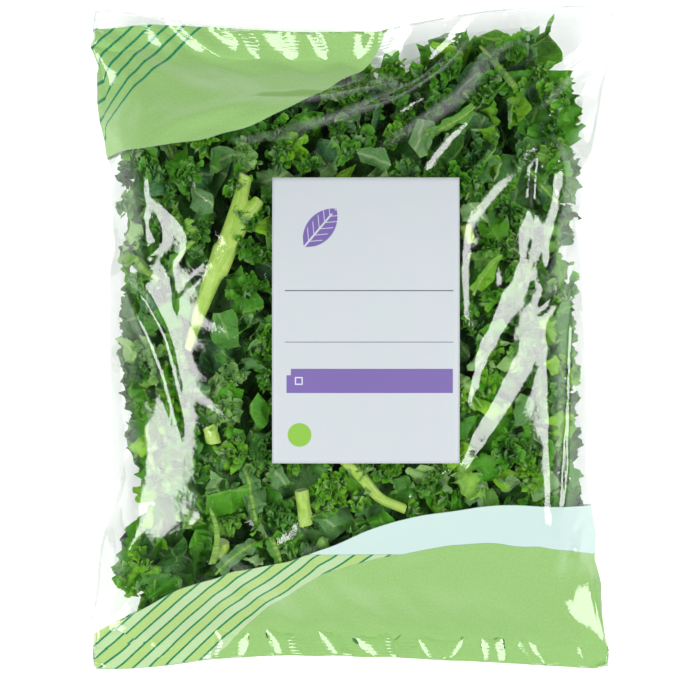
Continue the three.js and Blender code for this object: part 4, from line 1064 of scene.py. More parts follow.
def stem_material():
    k = Tree("kale_stem")
    uv = k.node("UVMap", uv_map="along").outputs[0]
    mm = k.node("Mapping", {0: uv, 3: (1000, 1000, 1000)}).outputs[0]
    long_ = k.node("Mapping", {0: mm, 3: (0.06, 1.1, 1.0)}).outputs[0]
    fibre = k.noise(long_, 1.3, 4.0, 0.6)
    blotch = k.noise(mm, 0.16, 3.0, 0.55)
    cut_end = k.node("Attribute", attribute_name="cut").outputs["Fac"]
    col = k.mix(k.step(blotch, 0.3, 0.7), lin(150, 196, 66), lin(186, 216, 98))
    col = k.mix(k.step(fibre, 0.42, 0.72, 0.0, 0.5), col, lin(214, 236, 150))
    col = k.mix(k.step(fibre, 0.40, 0.25, 0.0, 0.3), col, lin(140, 190, 62))
    col = k.mix(cut_end, col, lin(216, 228, 172))
    bump = k.node("Bump", {"Strength": 0.6, "Distance": 0.0005, "Height": fibre}).outputs[0]
    p = k.node("BsdfPrincipled", {"Base Color": col, "Roughness": k.m("ADD", 0.33, k.m("MULTIPLY", fibre, 0.2)), "Normal": bump, "Subsurface Weight": 0.18})
    p.inputs["Subsurface Radius"].default_value = (0.004, 0.006, 0.002)
    p.inputs["Subsurface Scale"].default_value = 0.3
    p.inputs["Specular IOR Level"].default_value = 0.5
    return k.end(p.outputs[0])

# ---------------------------------------------------------------- stalks
STEMS = [
    ("stem_long_curved", 5.2, 5.2, 4.2, [(-3.5, -53.5), (5, -62), (13, -71), (24, -76)]),
    ("stem_chunk_1", 3.6, 5.8, 6.6, [(-62, -39.5), (-60, -46.5)]),
    ("stem_chunk_2", 6.0, 6.4, 7.2, [(-56.5, -90.5), (-57.5, -97.5)]),
    ("stem_chunk_3", 3.55, 6.0, 6.2, [(-21.5, -67.5), (-19.6, -83)]),
    ("stem_chunk_4", 6.0, 5.2, 5.6, [(53, 41), (50, 49)]),
]
FORKED_MAIN = (4.95, 3.8, 10.0, [(-71.5, -6), (-64.5, 15), (-58.8, 30), (-55.2, 39)])
FORKED_BRANCHES = [(4.85, 9.6, 6.2, [(-59.5, 28), (-53, 44), (-49, 58), (-46, 71)]), (4.85, 9.2, 6.0, [(-58.5, 28), (-51.2, 43), (-45.5, 53), (-40, 60)])]


def spline(path, n):
    """Evenly spaced points on a smooth curve through the path's points."""
    p = np.array(path, float)
    p = np.concatenate([2 * p[:1] - p[1:2], p, 2 * p[-1:] - p[-2:-1]])
    out = []
    for k in range(1, len(p) - 2):
        for t in np.linspace(0, 1, 24, endpoint=False):
            a, b, c, d = p[k - 1:k + 3]
            out.append(0.5 * ((2 * b) + (c - a) * t + (2 * a - 5 * b + 4 * c - d) * t ** 2 + (3 * b - a - 3 * c + d) * t ** 3))
    out.append(p[-2])
    out = np.array(out)
    s = np.r_[0, np.cumsum(np.linalg.norm(np.diff(out, axis=0), axis=1))]
    t = np.linspace(0, s[-1], n)
    return np.stack([np.interp(t, s, out[:, k]) for k in range(out.shape[1])], -1), t


def stalk(path, depth, w0, w1, H, rng, slant=0.25, step=0.8, sides=40):
    """A grooved, slightly ribbed stalk with clean, slanting cut ends. Returns points, quads and triangles, and along, round and cut values."""
    mid, _ = spline(path, 40)
    z = H(mid[:, 0], mid[:, 1], "top") - depth
    z = np.convolve(np.pad(z, 6, mode="edge"), np.ones(13) / 13, "valid")
    mid = np.concatenate([mid, z[:, None]], 1)
    length = np.linalg.norm(np.diff(mid, axis=0), axis=1).sum()
    n = max(8, int(length / step))
    mid, s = spline(mid[::3] if len(mid) > 20 else mid, n)
    T = np.gradient(mid, axis=0)
    T /= np.linalg.norm(T, axis=1, keepdims=True)
    A = np.cross(np.array([0, 0, 1.0]), T)
    A /= np.linalg.norm(A, axis=1, keepdims=True)
    B = np.cross(T, A)
    th = np.arange(sides) / sides * 2 * math.pi
    f = s / s[-1]
    w = (w0 + (w1 - w0) * f)[:, None] / 2
    ph = rng.uniform(0, 6)
    ribs = 1 + 0.02 * np.sin(7 * th[None] + 0.9 * np.sin(3.1 * f[:, None] * 3 + ph)) + 0.012 * np.sin(11 * th[None] + ph + f[:, None] * 2) + 0.03 * np.sin(9 * f[:, None] + 2 * th[None] + ph)
    groove = 1 - 0.20 * np.exp(-(((th[None] - 0.5 * math.pi + 0.35 * np.sin(5 * f[:, None] + ph)) / 0.42) ** 2))
    r = w * ribs * groove
    P = mid[:, None] + A[:, None] * (r * np.cos(th))[..., None] + B[:, None] * (0.8 * r * np.sin(th))[..., None]
    # slanting cut faces
    sl0, sl1 = rng.uniform(-slant, slant, 2), rng.uniform(-slant, slant, 2)
    e0, e1 = np.clip(1 - f / 0.35, 0, 1)[:, None], np.clip(1 - (1 - f) / 0.35, 0, 1)[:, None]
    shift = e0 * (sl0[0] * (r * np.cos(th)) + sl0[1] * r * np.sin(th)) + e1 * (sl1[0] * (r * np.cos(th)) + sl1[1] * r * np.sin(th))
    P = P + T[:, None] * shift[..., None]
    pts, faces, cut = [P.reshape(-1, 3)], [], [np.zeros(P.shape[0] * sides)]
    S, R = [np.repeat(s, sides)], [np.tile(th, n)]
    idx = lambda k, i: k * sides + i % sides
    for k in range(n - 1):
        for i in range(sides):
            faces.append((idx(k, i), idx(k, i + 1), idx(k + 1, i + 1), idx(k + 1, i)))
    base = n * sides
    for end, k in ((0, 0), (1, n - 1)):
        rings = [1.0, 0.985, 0.86, 0.6, 0.3]
        centre = P[k].mean(0)
        prev = [idx(k, i) for i in range(sides)]
        for q in rings[1:]:
            ring = centre + (P[k] - centre) * q + T[k] * (0.12 if end else -0.12) * (1 if q < 0.98 else 0.55)
            if q < 0.9:
                ring = ring + T[k] * (-0.18 if end else 0.18) * (1 - q)
            pts.append(ring)
            cut.append(np.full(sides, 0.0 if q > 0.98 else 1.0 if q < 0.7 else 0.7))
            S.append(np.full(sides, s[k]))
            R.append(th)
            now = list(range(base, base + sides))
            base += sides
            for i in range(sides):
                j = (i + 1) % sides
                faces.append((prev[i], prev[j], now[j], now[i]) if end else (prev[j], prev[i], now[i], now[j]))
            prev = now
        pts.append((centre + T[k] * (-0.1 if end else 0.1) * 0.3)[None])
        cut.append(np.array([1.0]))
        S.append(np.array([s[k]]))
        R.append(np.array([0.0]))
        for i in range(sides):
            j = (i + 1) % sides
            faces.append((prev[i], prev[j], base) if end else (prev[j], prev[i], base))
        base += 1
    return np.concatenate(pts), faces, np.concatenate(S), np.concatenate(R), np.concatenate(cut)


def any_mesh(name, pts, faces):
    me = bpy.data.meshes.new(name)
    me.from_pydata((np.asarray(pts) * MM).tolist(), [], faces)
    me.polygons.foreach_set("use_smooth", np.ones(len(me.polygons), bool))
    me.update()
    ob = bpy.data.objects.new(name, me)
    bpy.context.scene.collection.objects.link(ob)
    return ob


def stem_object(name, pts, faces, S, R, cut, node, material):
    ob = any_mesh(name, pts, faces)
    uv_layer(ob, "along", np.stack([S * MM, R * 3.0 * MM], 1))
    point_value(ob, "cut", cut)
    ob.data.materials.append(material)
    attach(ob, "root")
    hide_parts(node)
    return ob


def forked_stem(H, rng, material):
    """The forked stalk: three grown-together limbs, skinned over as one."""
    limbs = [stalk(FORKED_MAIN[3], FORKED_MAIN[0], FORKED_MAIN[1], FORKED_MAIN[2], H, rng)]
    limbs += [stalk(p, d, w0, w1, H, rng) for d, w0, w1, p in FORKED_BRANCHES]
    pts, faces, base = [], [], 0
    for l in limbs:
        pts.append(l[0])
        faces += [tuple(v + base for v in f) for f in l[1]]
        base += len(l[0])
    ob = any_mesh("stem_forked_skin", np.concatenate(pts), faces)
    m = ob.modifiers.new("join", "REMESH")
    m.mode, m.voxel_size = "VOXEL", 0.00042
    s = ob.modifiers.new("soft", "SMOOTH")
    s.factor, s.iterations = 0.6, 30
    dg = bpy.context.evaluated_depsgraph_get()
    me = bpy.data.meshes.new_from_object(ob.evaluated_get(dg))
    ob.modifiers.clear()
    ob.data = me
    me.name = "stem_forked_skin"
    co = np.empty(len(me.vertices) * 3, np.float32)
    me.vertices.foreach_get("co", co)
    co = co.reshape(-1, 3) / MM
    # each point takes its place along and round the limb that it lies nearest to
    allp = np.concatenate(pts)
    S = np.concatenate([l[2] + 31.0 * k for k, l in enumerate(limbs)])
    R, C = np.concatenate([l[3] for l in limbs]), np.concatenate([l[4] for l in limbs])
    from mathutils.kdtree import KDTree
    tree = KDTree(len(allp))
    for i, p in enumerate(allp):
        tree.insert(p, i)
    tree.balance()
    near = np.array([tree.find(p)[1] for p in co])
    me.polygons.foreach_set("use_smooth", np.ones(len(me.polygons), bool))
    uv_layer(ob, "along", np.stack([S[near] * MM, R[near] * 3.0 * MM], 1))
    point_value(ob, "cut", C[near])
    me.materials.clear()
    me.materials.append(material)
    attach(ob, "root")
    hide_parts("stem_forked")
    return ob


# ---------------------------------------------------------------- the leaves, by the frame's own places
# name, x, y, depth from the film, turn in degrees, half length, half width, waves, phase, camber, slope along x, slope along y
LEAVES = [
    ("leaf_front_01", -46, 101.4, 8.4, -11, 24, 18.8, 5, 0.3, -0.7, -0.15, 0.08),
    ("leaf_front_02", 5.7, 100.6, 6.3, -21, 22.1, 19.3, 6, 4.4, -1.5, -0.07, 0.06),
    ("leaf_front_03", 85.7, 100.6, 6.1, 101, 22.8, 19.7, 5, 3.2, -0.1, 0.03, -0.01),
    ("leaf_front_04", -27.5, 72.4, 12.1, 162, 24, 22, 5, 6.1, 1.6, -0.15, 0.22),
    ("leaf_front_05", 49.3, 99.8, 10, 103, 24, 21.3, 5, 5.9, -0.7, -0.06, 0.06),
    ("leaf_front_06", 54, 84, 6.6, 70, 17, 13, 4, 2, 1.2, 0, 0),
    ("leaf_front_07", -79.3, 46.7, 8.1, -171, 21, 19.2, 5, 1.4, -1.2, 0.01, 0.24),
    ("leaf_front_08", -21.1, 36.4, 10, 170, 24, 20.2, 5, 0.5, -0.3, -0.22, 0.08),
    ("leaf_front_09", 18, 56.1, 10, -36, 24, 22, 4, 2.7, -0.4, -0.24, -0.02),
    ("leaf_front_10", 55, 20.5, 6.4, 60, 17, 12, 4, 1, 1.4, 0, 0),
    ("leaf_front_11", 76.1, 56, 7.8, 85, 23.6, 20.9, 6, 0.6, -1.1, -0.01, 0.25),
    ("leaf_front_12", -88.7, 5.7, 8.7, 24, 19.8, 17.8, 4, 2.1, 1.2, -0.1, -0.15),
    ("leaf_front_13", -57, 10.7, 10.6, 99, 23.5, 19.2, 6, 4.3, 0.5, 0.24, -0.09),
    ("leaf_front_14", 18.4, 15.7, 10, 29, 24, 21.8, 6, 0.3, 0.8, -0.09, 0.3),
    ("leaf_front_15", 30.1, -19.4, 8.5, 16, 23, 18.8, 6, 0.8, 1.2, -0.21, 0.11),
    ("leaf_front_16", 80.1, -1.3, 9.9, -158, 24, 19.9, 5, 3.1, -0.3, -0.01, 0.03),
    ("leaf_front_17", -80.9, -47.7, 6.3, 53, 24, 22, 5, 1.8, -1.1, 0, -0.08),
    ("leaf_front_18", -10.4, -30, 5.9, 75, 24, 22, 4, 4.1, 0.4, -0.05, -0.09),
    ("leaf_front_19", 51.2, -36.8, 7.9, -89, 24, 21.9, 4, 3, -0.4, -0.07, 0.25),
    ("leaf_front_20", 83.9, -40, 8, 104, 24, 20.6, 6, 4.4, -0.4, -0.17, 0.12),
    ("leaf_front_21", -77, -99, 6.4, -28, 20, 12.5, 3, 0.4, 1.6, 0, 0),
    ("leaf_front_22", -62.3, -71.7, 9, 50, 18.7, 15.5, 5, 3.1, -1.4, -0.03, -0.28),
    ("leaf_front_23", -22.4, -74.7, 7.05, 18, 24, 22, 4, 1.4, -0.7, -0.1, 0.03),
    ("leaf_front_24", 15.6, -62.2, 10, 160, 24, 21.8, 6, 3.6, -1.3, 0.15, 0.23),
    ("leaf_front_25", 46.3, -78.1, 8.6, 58, 22.7, 16.1, 6, 2.2, 0.8, -0.22, 0.11),
    ("leaf_front_26", 83.6, -72.7, 8.3, 133, 24, 19.8, 5, 0.3, 1, -0.08, 0.18),
    ("leaf_front_27", -36.3, -104.7, 8.6, -168, 24, 18.6, 4, 4.3, 0.8, 0.07, -0.3),
    ("leaf_front_28", 15.3, -104.9, 7.6, 115, 24, 21.2, 4, 2.8, -0.7, 0.09, -0.1),
    ("leaf_front_29", 60.1, -104.1, 7.2, 51, 24, 21.7, 6, 4.8, 1.3, -0.07, 0.04),
    ("leaf_inner_01", -77.9, 79.2, 13.8, -30, 27, 23.3, 6, 6, 0.1, 0.01, -0.09),
    ("leaf_inner_02", -34.8, 79.8, 21.1, 4, 27, 22.2, 4, 5.6, -1.4, 0.26, 0.14),
    ("leaf_inner_03", 56.7, 99.5, 15.2, 179, 27, 24, 4, 2.4, -0.4, -0.05, 0.04),
    ("leaf_inner_04", -43.6, 36, 23.1, 124, 25.3, 17.1, 5, 0.8, 0.4, 0, 0.27),
    ("leaf_inner_05", 74.2, 39.8, 19.3, 30, 26.8, 20.2, 5, 0.1, -1.4, 0.18, -0.16),
    ("leaf_inner_06", -27.5, -3.2, 12.8, -40, 27, 23.5, 6, 5.2, 0, -0.03, -0.04),
    ("leaf_inner_07", 11.7, 11.8, 25.6, 127, 27, 24, 4, 5.1, -1.5, -0.3, 0.04),
    ("leaf_inner_08", 56.3, -9, 18.4, -169, 27, 23.5, 6, 2.6, 1.2, 0.1, -0.14),
    ("leaf_inner_09", 75.5, 18.6, 24.9, -147, 25.1, 17.9, 6, 3, -1.2, 0.2, 0.04),
    ("leaf_inner_10", -46.5, -38.4, 13.3, 145, 26.8, 24.3, 4, 4, -0.1, -0.04, 0.3),
    ("leaf_inner_11", -18.1, -105.9, 14, 161, 26.7, 20, 5, 4.5, -1.3, -0.05, -0.3),
    ("leaf_back_01", -70.9, 93.6, 7.2, 3, 29, 26.2, 5, 3, -1.2, 0.04, -0.2),
    ("leaf_back_02", -14.9, 90.2, 9, 90, 28.9, 26, 4, 5.9, 1.5, 0.02, -0.19),
    ("leaf_back_03", 40.2, 87.8, 8.2, 148, 29, 25.7, 6, 0.4, -0.2, 0.12, -0.14),
    ("leaf_back_04", -71.2, 42.3, 9, -10, 29, 26.5, 5, 4.3, 0.7, 0.15, 0.12),
    ("leaf_back_05", 52.6, 37.3, 9, 170, 29, 26, 4, 4.3, 1.4, 0.2, -0.04),
    ("leaf_back_06", -9.3, 15.7, 9, 58, 29, 26.6, 5, 5.2, 1.6, 0.22, 0.02),
    ("leaf_back_07", 68.2, -16.4, 8.8, 162, 28.8, 26.4, 4, 3.5, -1.4, -0.15, 0.02),
    ("leaf_back_08", -78.6, -22.6, 9, 35, 29, 25.8, 4, 3.9, 1.5, 0.01, -0.22),
    ("leaf_back_09", -74.2, -94.8, 6.6, 127, 29, 26.6, 6, 3.6, -1.5, -0.04, 0.06),
    ("leaf_back_10", -9, -68.7, 7.9, 128, 29, 26.3, 6, 2.5, 0.8, -0.07, -0.14),
    ("leaf_back_11", 48, -62.8, 8.3, 160, 29, 26.4, 6, 4.9, 1.5, 0.1, -0.1),
    ("leaf_back_12", 80.3, -100.9, 5.6, 101, 27.9, 22.7, 6, 4.1, 1.2, -0.08, 0.12),
]


def place_leaves(H, material, hold):
    made = []
    for k, (name, x, y, depth, yaw, L, W, waves, phase, camber, sx, sy) in enumerate(LEAVES):
        rng = np.random.default_rng(1000 + k)
        front = "back" not in name
        inner = "inner" in name
        h = 0.95 if (front and not inner) else 1.6
        curly = float(rng.choice([0.5, 0.9, 1.0], p=[0.2, 0.4, 0.4]))
        under = float(rng.choice([0.0, 0.25, 0.7], p=[0.5, 0.25, 0.25]))
        # the large leaves, which show mostly in the gaps under the smaller pieces, get a dark tone: painted shade in
        # those gaps
        tone = float(np.clip(rng.normal(0.22, 0.14), 0.0, 1))
        fold = [(rng.uniform(0, 6.28), rng.uniform(0.3, 0.7), rng.uniform(0.5, 1.7) * (1 if front else -1)) for _ in range(rng.integers(0, 3))]
        got = leaf_piece(rng, L * 1.04, W * 1.04, curly, h, mid=rng.uniform(-0.3, 0.3), fold=fold, cuts=int(rng.integers(4, 7)), under=under, tone=tone, curl=rng.uniform(-0.9, 0.9), vee=rng.uniform(0.0, 0.25), cup=rng.uniform(-1, 0.4))
        q, tris, flat, vals, mid = got
        q = turn(q, math.atan(sy) * 1.5, -math.atan(sx) * 1.5, math.radians(yaw))
        q = settle(q, x, y, depth - 1.0 if front else 1.5, front, H, hold=hold if front and not inner else ())
        ob = leaf_object(name.replace("leaf_", "kale_leaf_"), [(q, tris, flat, vals, mid)], material)
        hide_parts(name)
        made.append(ob)
    return made


def scatter(rng, n, gap, inside):
    """About n places inside the outline, none closer than gap."""
    out = []
    for _ in range(n * 60):
        p = np.array([rng.uniform(-106, 104), rng.uniform(-143, 136)])
        if inside(p) and all((p[0] - q[0]) ** 2 + (p[1] - q[1]) ** 2 > gap * gap for q in out):
            out.append(p)
            if len(out) == n:
                break
    return out


def place_scraps(H, material, hold):
    """The many small pieces that the knife leaves, against the front film, against the back film and along the sides."""
    # group, flat pieces, frilled pieces, spacing, depths of the nearest part, seed
    plan = [("front", 215, 225, 5.6, (0.4, 5.5), 11), ("front_low", 80, 20, 10.5, (5.0, 12.0), 12), ("middle", 150, 0, 12.5, (12.0, 20.0), 14), ("back", 84, 30, 11.5, (0.6, 6.0), 13)]
    for group, n_flat, n_frill, gap, depths, seed in plan:
        rng = np.random.default_rng(seed)
        front = group != "back"

        def inside(p):
            t, b = H(p[:1], p[1:], "top")[0], H(p[:1], p[1:], "bot")[0]
            if group == "front" and any((((line[:, :2] - p) ** 2).sum(1) < (radius + 3.5) ** 2).any() for line, radius in hold):
                return False
            if group == "front":
                for kind, x, y, yaw, size, depth_, tone_, under_, seed_ in SHOWN:
                    a = math.radians(yaw)
                    dx, dy = p[0] - x, p[1] - y
                    du, dv = dx * math.cos(a) + dy * math.sin(a), dy * math.cos(a) - dx * math.sin(a)
                    if kind == "blade" and (du / (size[0] + 1.5)) ** 2 + (dv / (size[1] + 1.5)) ** 2 < 1:
                        return False
                    if kind == "rib" and abs(du) < size[0] / 2 and abs(dv) < 4.5:
                        return False
                    if kind == "frill" and math.hypot(dx, dy) < size[0] * 0.45:
                        return False
            left, right = side_limits(p[1])
            room = 13 if group == "middle" else 3
            return t - b > 7 and left + room < p[0] < right - room

        places = scatter(rng, n_flat + n_frill, gap, inside)
        if group == "middle":
            # larger pieces close together, so that no gap runs right through the bag
            places = [np.array([x, y]) + rng.uniform(-1.5, 1.5, 2) for y in np.arange(-136, 130, 14.5) for x in np.arange(-96, 96, 14.5)]
            places = [q for q in places if inside(q)]
        kinds = rng.permutation(np.arange(len(places)) < n_frill)
        # the groups that lie deeper, seen only in the gaps between the front pieces, get a darker tone: painted shade
        # in those gaps
        dark = {"front_low": 0.28, "middle": 0.4}.get(group, 0.0)
        parts = []
        for (x, y), frill in zip(places, kinds):
            # the front pieces' tone by place: lighter towards the foot, darker towards the head end, and one piece in
            # five much lighter
            lift = float(np.interp(y, [-120, -20, 40, 100], [0.15, 0.14, 0.0, -0.13])) + (0.42 if rng.random() < 0.2 else 0.0)
            lift = 0.0 if group in ("middle", "back") else lift
            if frill:
                got = frill_piece(rng, rng.uniform(7.0, 13.0), {"front": 0.54, "front_low": 0.85}.get(group, 1.25), tone=float(np.clip(rng.normal(0.46, 0.2) + lift - dark, 0, 1)), under=float(rng.choice([0.0, 0.25, 0.8], p=[0.7, 0.15, 0.15])), fans=int(rng.integers(4, 7)))
                q, tris, flat, vals, mid = got
                q = turn(q, rng.normal(0, 0.4) + (0 if front else math.pi), rng.normal(0, 0.4), rng.uniform(0, 6.28))
            else:
                if rng.random() < 0.06 and group != "middle":
                    got = rib_piece(rng, rng.uniform(12, 30), rng.uniform(0.7, 1.3), rng.uniform(0.9, 2.0), rng.uniform(2.5, 7), 0.8, tone=rng.uniform(0.2, 0.7), under=float(rng.choice([0.2, 0.7, 1.0])), angle=rng.uniform(-1.2, 1.2), bend=rng.uniform(-0.6, 0.6))
                    q, tris, flat, vals, mid = got
                    q = settle(turn(q, rng.normal(0, 0.5), rng.normal(0, 0.3), rng.uniform(0, 6.28)), x, y, rng.uniform(*depths), front, H, soft=0.8)
                    parts.append((q, tris, flat, vals, mid))
                    continue
                L, W = (rng.uniform(15.0, 18.0), rng.uniform(12.0, 14.0)) if group == "middle" else (rng.uniform(6.0, 13.0), rng.uniform(3.6, 7.5))
                curly = float(rng.choice([0.3, 0.8, 1.0, 1.0]))
                fold = [(rng.uniform(0, 6.28), rng.uniform(0.1, 0.6), rng.uniform(0.6, 2.2) * rng.choice([-1, 1]))] if rng.random() < 0.5 else None
                got = leaf_piece(rng, L, W, curly, {"front": 0.90, "front_low": 1.1, "middle": 2.4}.get(group, 1.4), mid=rng.uniform(-0.9, 0.9), fold=fold, cuts=6 if group == "middle" else int(rng.integers(2, 6)), under=float(rng.choice([0.0, 0.3, 0.8, 1.0], p=[0.5, 0.2, 0.2, 0.1])), tone=float(np.clip(rng.normal(0.34, 0.24) + lift - dark, 0, 1)), curl=rng.uniform(-1.3, 1.3), vee=rng.uniform(-0.1, 0.5), cup=rng.uniform(-1, 1))
                if got is None:
                    continue
                q, tris, flat, vals, mid = got
                q = turn(q, rng.normal(0, 0.55), rng.normal(0, 0.55), rng.uniform(0, 6.28))
            q = settle(q, x, y, rng.uniform(*depths), front, H, soft=0.8)
            parts.append((q, tris, flat, vals, mid))
        per = 60
        for k in range(0, len(parts), per):
            ob = leaf_object("kale_scraps_%s_%d" % (group, k // per + 1), parts[k:k + per], material)


# the larger pieces that show at the front: kind, x, y, turn in degrees, size, depth, tone, underside, and what else the kind takes
SHOWN = [
    ("rib", -43.8, -68.5, 100, (27, 0.8, 1.3, 6.5), 1.0, 0.35, 0.9, 11),
    ("rib", -50.5, -98, 38, (24, 0.5, 0.7, 5.0), 1.6, 0.3, 1.0, 12),
    ("rib", -33, -95, -70, (14, 1.4, 0.8, 6.0), 1.4, 0.5, 0.3, 13),
    ("rib", 57, 71, 60, (26, 0.7, 0.4, 8.0), 1.0, 0.3, 0.7, 14),
    ("rib", 60, 27, 55, (22, 0.7, 0.4, 8.0), 0.8, 0.75, 0.0, 15),
    ("rib", -25.5, 31.5, 92, (12, 0.9, 0.7, 4.0), 1.4, 0.4, 0.8, 16),
    ("rib", 44, 95, 30, (26, 0.9, 0.5, 6.0), 1.2, 0.6, 0.3, 17),
    ("rib", 85, 66, 130, (20, 0.8, 0.5, 5.0), 1.2, 0.45, 0.5, 18),
    ("blade", -79, -97, 148, (21, 10.5, 0.1), 0.7, 0.12, 0.75, 21),
    ("blade", 71, 100, 20, (11, 7.5, 0.4), 0.9, 0.85, 0.0, 22),
    ("blade", 32.5, 87.5, 75, (10.5, 7.5, 0.1), 0.7, 0.5, 1.0, 23),
    ("blade", 64.5, 74, 110, (7.5, 5.0, 0.1), 0.6, 0.95, 0.0, 24),
    ("blade", 54, 53, -50, (8.5, 5.5, 0.2), 0.8, 0.55, 1.0, 25),
    ("blade", 45, 128, 5, (13, 4.0, 0.6), 1.2, 0.9, 0.0, 26),
    ("blade", -12, -79, -35, (10, 5.0, 0.3), 1.0, 0.3, 0.8, 27),
    ("blade", 2, -64, 10, (10, 6.0, 1.0), 0.8, 0.7, 0.0, 28),
    ("blade", -67, 60, -40, (11, 6.0, 0.2), 0.8, 0.35, 0.9, 29),
    ("blade", -88, 85, -60, (9, 6.5, 0.6), 1.2, 0.5, 0.2, 30),
    ("blade", -60, 78, 20, (12, 6.5, 0.4), 1.0, 0.4, 0.7, 31),
    ("blade", 10, 78, -20, (10, 6.0, 0.2), 1.0, 0.35, 0.8, 32),
    ("blade", -33, 15, 60, (11, 4.5, 0.1), 0.9, 0.4, 1.0, 33),
    ("blade", 88, -14, 30, (5.5, 4.0, 0.1), 1.0, 1.0, 0.0, 34),
    ("blade", 75, -33, 70, (9, 6.0, 0.5), 1.6, 0.45, 0.6, 35),
    ("frill", 54, 67, 0, (15,), 0.6, 0.45, 0.0, 41),
    ("frill", 69, -46, 0, (16,), 0.6, 0.45, 0.0, 42),
    ("frill", 6, 105, 0, (15,), 0.6, 0.55, 0.0, 43),
    ("frill", -68, 88, 0, (17,), 0.6, 0.75, 0.0, 44),
    ("frill", -44, 52, 0, (12,), 1.4, 0.4, 0.0, 45),
    ("frill", -32, -2, 0, (14,), 0.7, 0.65, 0.0, 46),
    ("frill", -30, -78, 0, (13,), 0.8, 0.35, 0.2, 47),
    ("frill", -12, -66, 0, (14,), 0.8, 0.75, 0.0, 48),
    ("frill", 92, 108, 0, (15,), 0.8, 0.7, 0.0, 49),
    ("frill", -50, 66, 0, (11,), 1.2, 0.6, 0.0, 50),
    ("frill", -101, 58, 0, (9,), 1.4, 0.5, 0.5, 51),
    ("frill", -72, 72, 0, (12,), 1.0, 0.5, 0.1, 52),
    ("frill", -66, 45, 0, (12,), 1.0, 0.35, 0.3, 53),
]


def place_shown(H, material):
    parts = []
    for kind, x, y, yaw, size, depth, tone, under, seed in SHOWN:
        rng = np.random.default_rng(7000 + seed)
        if kind == "rib":
            got = rib_piece(rng, *size, 0.6, tone=tone, under=under, angle=rng.uniform(0.3, 0.9), bend=rng.uniform(-0.4, 0.4))
        elif kind == "frill":
            got = frill_piece(rng, size[0], 0.46, tone=tone, under=under, fans=6)
        else:
            fold = [(rng.uniform(0, 6.28), rng.uniform(0.2, 0.6), rng.uniform(0.8, 2.0))]
            got = leaf_piece(rng, size[0], size[1], size[2], 0.7, mid=rng.uniform(-0.6, 0.6), fold=fold, cuts=6, under=under, tone=tone, curl=rng.uniform(-0.6, 0.6), vee=rng.uniform(0, 0.3))
        q, tris, flat, vals, mid = got
        q = turn(q, rng.normal(0, 0.2), rng.normal(0, 0.2), math.radians(yaw))
        parts.append((settle(q, x, y, depth, True, H, soft=0.8), tris, flat, vals, mid))
    ob = leaf_object("kale_shown_pieces", parts, material)


# ---------------------------------------------------------------- floor, light and camera
def stage_and_light():
    k = Tree("pale_floor")
    geo = k.node("TexCoord").outputs["Object"]
    n = k.noise(geo, 60.0, 3.0, 0.6)
    col = k.mix(k.step(n, 0.3, 0.7), (0.90, 0.90, 0.90, 1), (0.93, 0.93, 0.93, 1))
    # a white table with a little light of its own
    glow = k.node("Emission", {"Color": (0.97, 0.985, 1.0, 1), "Strength": 0.38})
    floor_mat = k.end(k.node("AddShader", {0: k.node("BsdfDiffuse", {"Color": col}).outputs[0], 1: glow.outputs[0]}).outputs[0])
    bpy.ops.mesh.primitive_plane_add(size=6, location=(0, 0, -0.0003))
    floor = bpy.context.object
    floor.name = "floor"
    floor.data.materials.append(floor_mat)

    world = bpy.data.worlds.new("studio")
    bpy.context.scene.world = world
    world.use_nodes = True
    wt = world.node_tree
    bg = wt.nodes["Background"]
    # a pale surround, dimmer overhead, as in a light tent with a dark camera port
    tc = wt.nodes.new("ShaderNodeTexCoord")
    xyz = wt.nodes.new("ShaderNodeSeparateXYZ")
    ramp = wt.nodes.new("ShaderNodeMapRange")
    ramp.interpolation_type = "SMOOTHSTEP"
    for i, v in enumerate(WORLD):
        ramp.inputs[i + 1].default_value = v
    wt.links.new(tc.outputs["Generated"], xyz.inputs[0])
    wt.links.new(xyz.outputs[2], ramp.inputs[0])
    wt.links.new(ramp.outputs[0], bg.inputs[1])
    bg.inputs[0].default_value = (0.97, 0.985, 1.0, 1)

    for name, az, el, w, h, dist, radiance in SOFTBOXES:
        a, e = math.radians(az), math.radians(el)
        d = Vector((math.cos(a) * math.cos(e), math.sin(a) * math.cos(e), math.sin(e)))
        lamp = bpy.data.lights.new(name, "AREA")
        lamp.shape, lamp.size, lamp.size_y = "RECTANGLE", w, h
        lamp.energy = radiance * math.pi * w * h
        ob = bpy.data.objects.new(name, lamp)
        ob.location = Vector((0, 0, 0.03)) + d * dist
        ob.rotation_mode = "QUATERNION"
        ob.rotation_quaternion = d.to_track_quat("Z", "Y")
        bpy.context.scene.collection.objects.link(ob)

    cam = bpy.data.cameras.new("camera")
    cam.lens, cam.sensor_width = 200.0, 36.0
    cam.clip_start, cam.clip_end = 0.05, 20.0
    ob = bpy.data.objects.new("camera", cam)
    ob.location = (-0.00025, -0.0060, 0.020 + 1.7306)
    bpy.context.scene.collection.objects.link(ob)
    bpy.context.scene.camera = ob
    bpy.context.scene.view_settings.view_transform = "Standard"


# name, azimuth and elevation of its middle, width, height, distance, radiance
SOFTBOXES = [
    ("softbox_left", 195, 52, 1.5, 0.95, 1.75, 6.4),
    ("softbox_right", -8, 52, 1.5, 0.95, 1.75, 6.4),
]
# from the horizon to half height the surround falls from 0.95 to nearly nothing
WORLD = (0.0, 0.50, 0.95, 0.004)


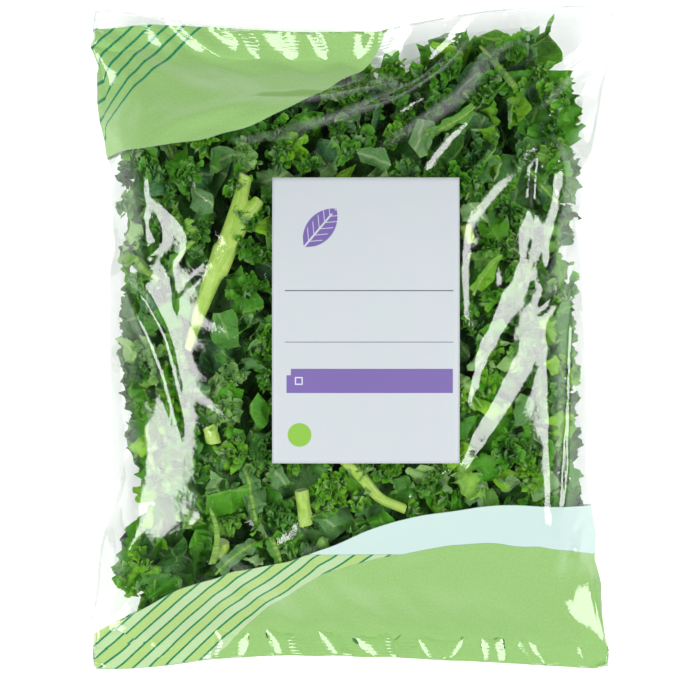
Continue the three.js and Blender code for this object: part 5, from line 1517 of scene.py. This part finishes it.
def draw_in():
    """Sets the contents' points near the bag's rim between its two films, clear of both."""
    film = next(o for o in bpy.context.scene.objects if o.name.endswith("film_pouch_skin")).data
    film.calc_loop_triangles()
    tree = BVHTree.FromPolygons([v.co.copy() for v in film.vertices], [tuple(t.vertices) for t in film.loop_triangles])
    up, down = Vector((0, 0, 1)), Vector((0, 0, -1))
    for ob in bpy.context.scene.objects:
        if ob.type != "MESH" or not ob.name.startswith("kale_"):
            continue
        for v in ob.data.vertices:
            x, y, z = v.co
            if abs(y) < 0.105 and abs(x) < 0.095:
                continue
            top = tree.ray_cast(Vector((x, y, 0.2)), down)[0]
            low = tree.ray_cast(Vector((x, y, -0.1)), up)[0]
            if top is not None and low is not None:
                room = min(0.0009, (top.z - low.z) / 2)
                v.co.z = min(max(z, low.z + room), top.z - room)
        ob.data.update()


def main():
    M, P = crinkle(blown_pouch())
    P, M = shoulder(P, M)
    P = crease(P, M)
    high = label_height(P)
    # the film lies flat against the stiff label
    nc = P.shape[1]
    fr = np.arange(1, nc // 2)
    F = P[:, fr]
    inx = ss((np.minimum(F[..., 0] - LABEL["x0"], LABEL["x1"] - F[..., 0]) + 5) / 5)
    iny = ss((np.minimum(F[..., 1] - LABEL["y0"], LABEL["y1"] - F[..., 1]) + 5) / 5)
    k = inx * iny
    F[..., 2] = F[..., 2] * (1 - k) + (high(np.clip(F[..., 0], LABEL["x0"] - 4, LABEL["x1"] + 4), np.clip(F[..., 1], LABEL["y0"] - 4, LABEL["y1"] + 4)) + 0.05) * k
    P[:, fr] = F
    H = Heights(P)
    film_object(P, film_material())
    label_object(high, label_material())
    leaf, stem = leaf_material(), stem_material()
    hold = []
    for depth, w0, w1, path in [(d, a, b, p) for _, d, a, b, p in STEMS] + [FORKED_MAIN] + FORKED_BRANCHES:
        mid, s = spline(path, 30)
        f = s / s[-1]
        hold.append((np.concatenate([mid, (H(mid[:, 0], mid[:, 1], "top") - depth)[:, None]], 1), (w0 + (w1 - w0) * f) / 2))
    for i, (name, depth, w0, w1, path) in enumerate(STEMS):
        rng = np.random.default_rng(300 + i)
        got = stalk(path, depth, w0, w1, H, rng)
        stem_object(name + "_skin", *got, name, stem)
    forked_stem(H, np.random.default_rng(390), stem)
    place_leaves(H, leaf, hold)
    place_scraps(H, leaf, hold)
    place_shown(H, leaf)
    draw_in()
    stage_and_light()


main()
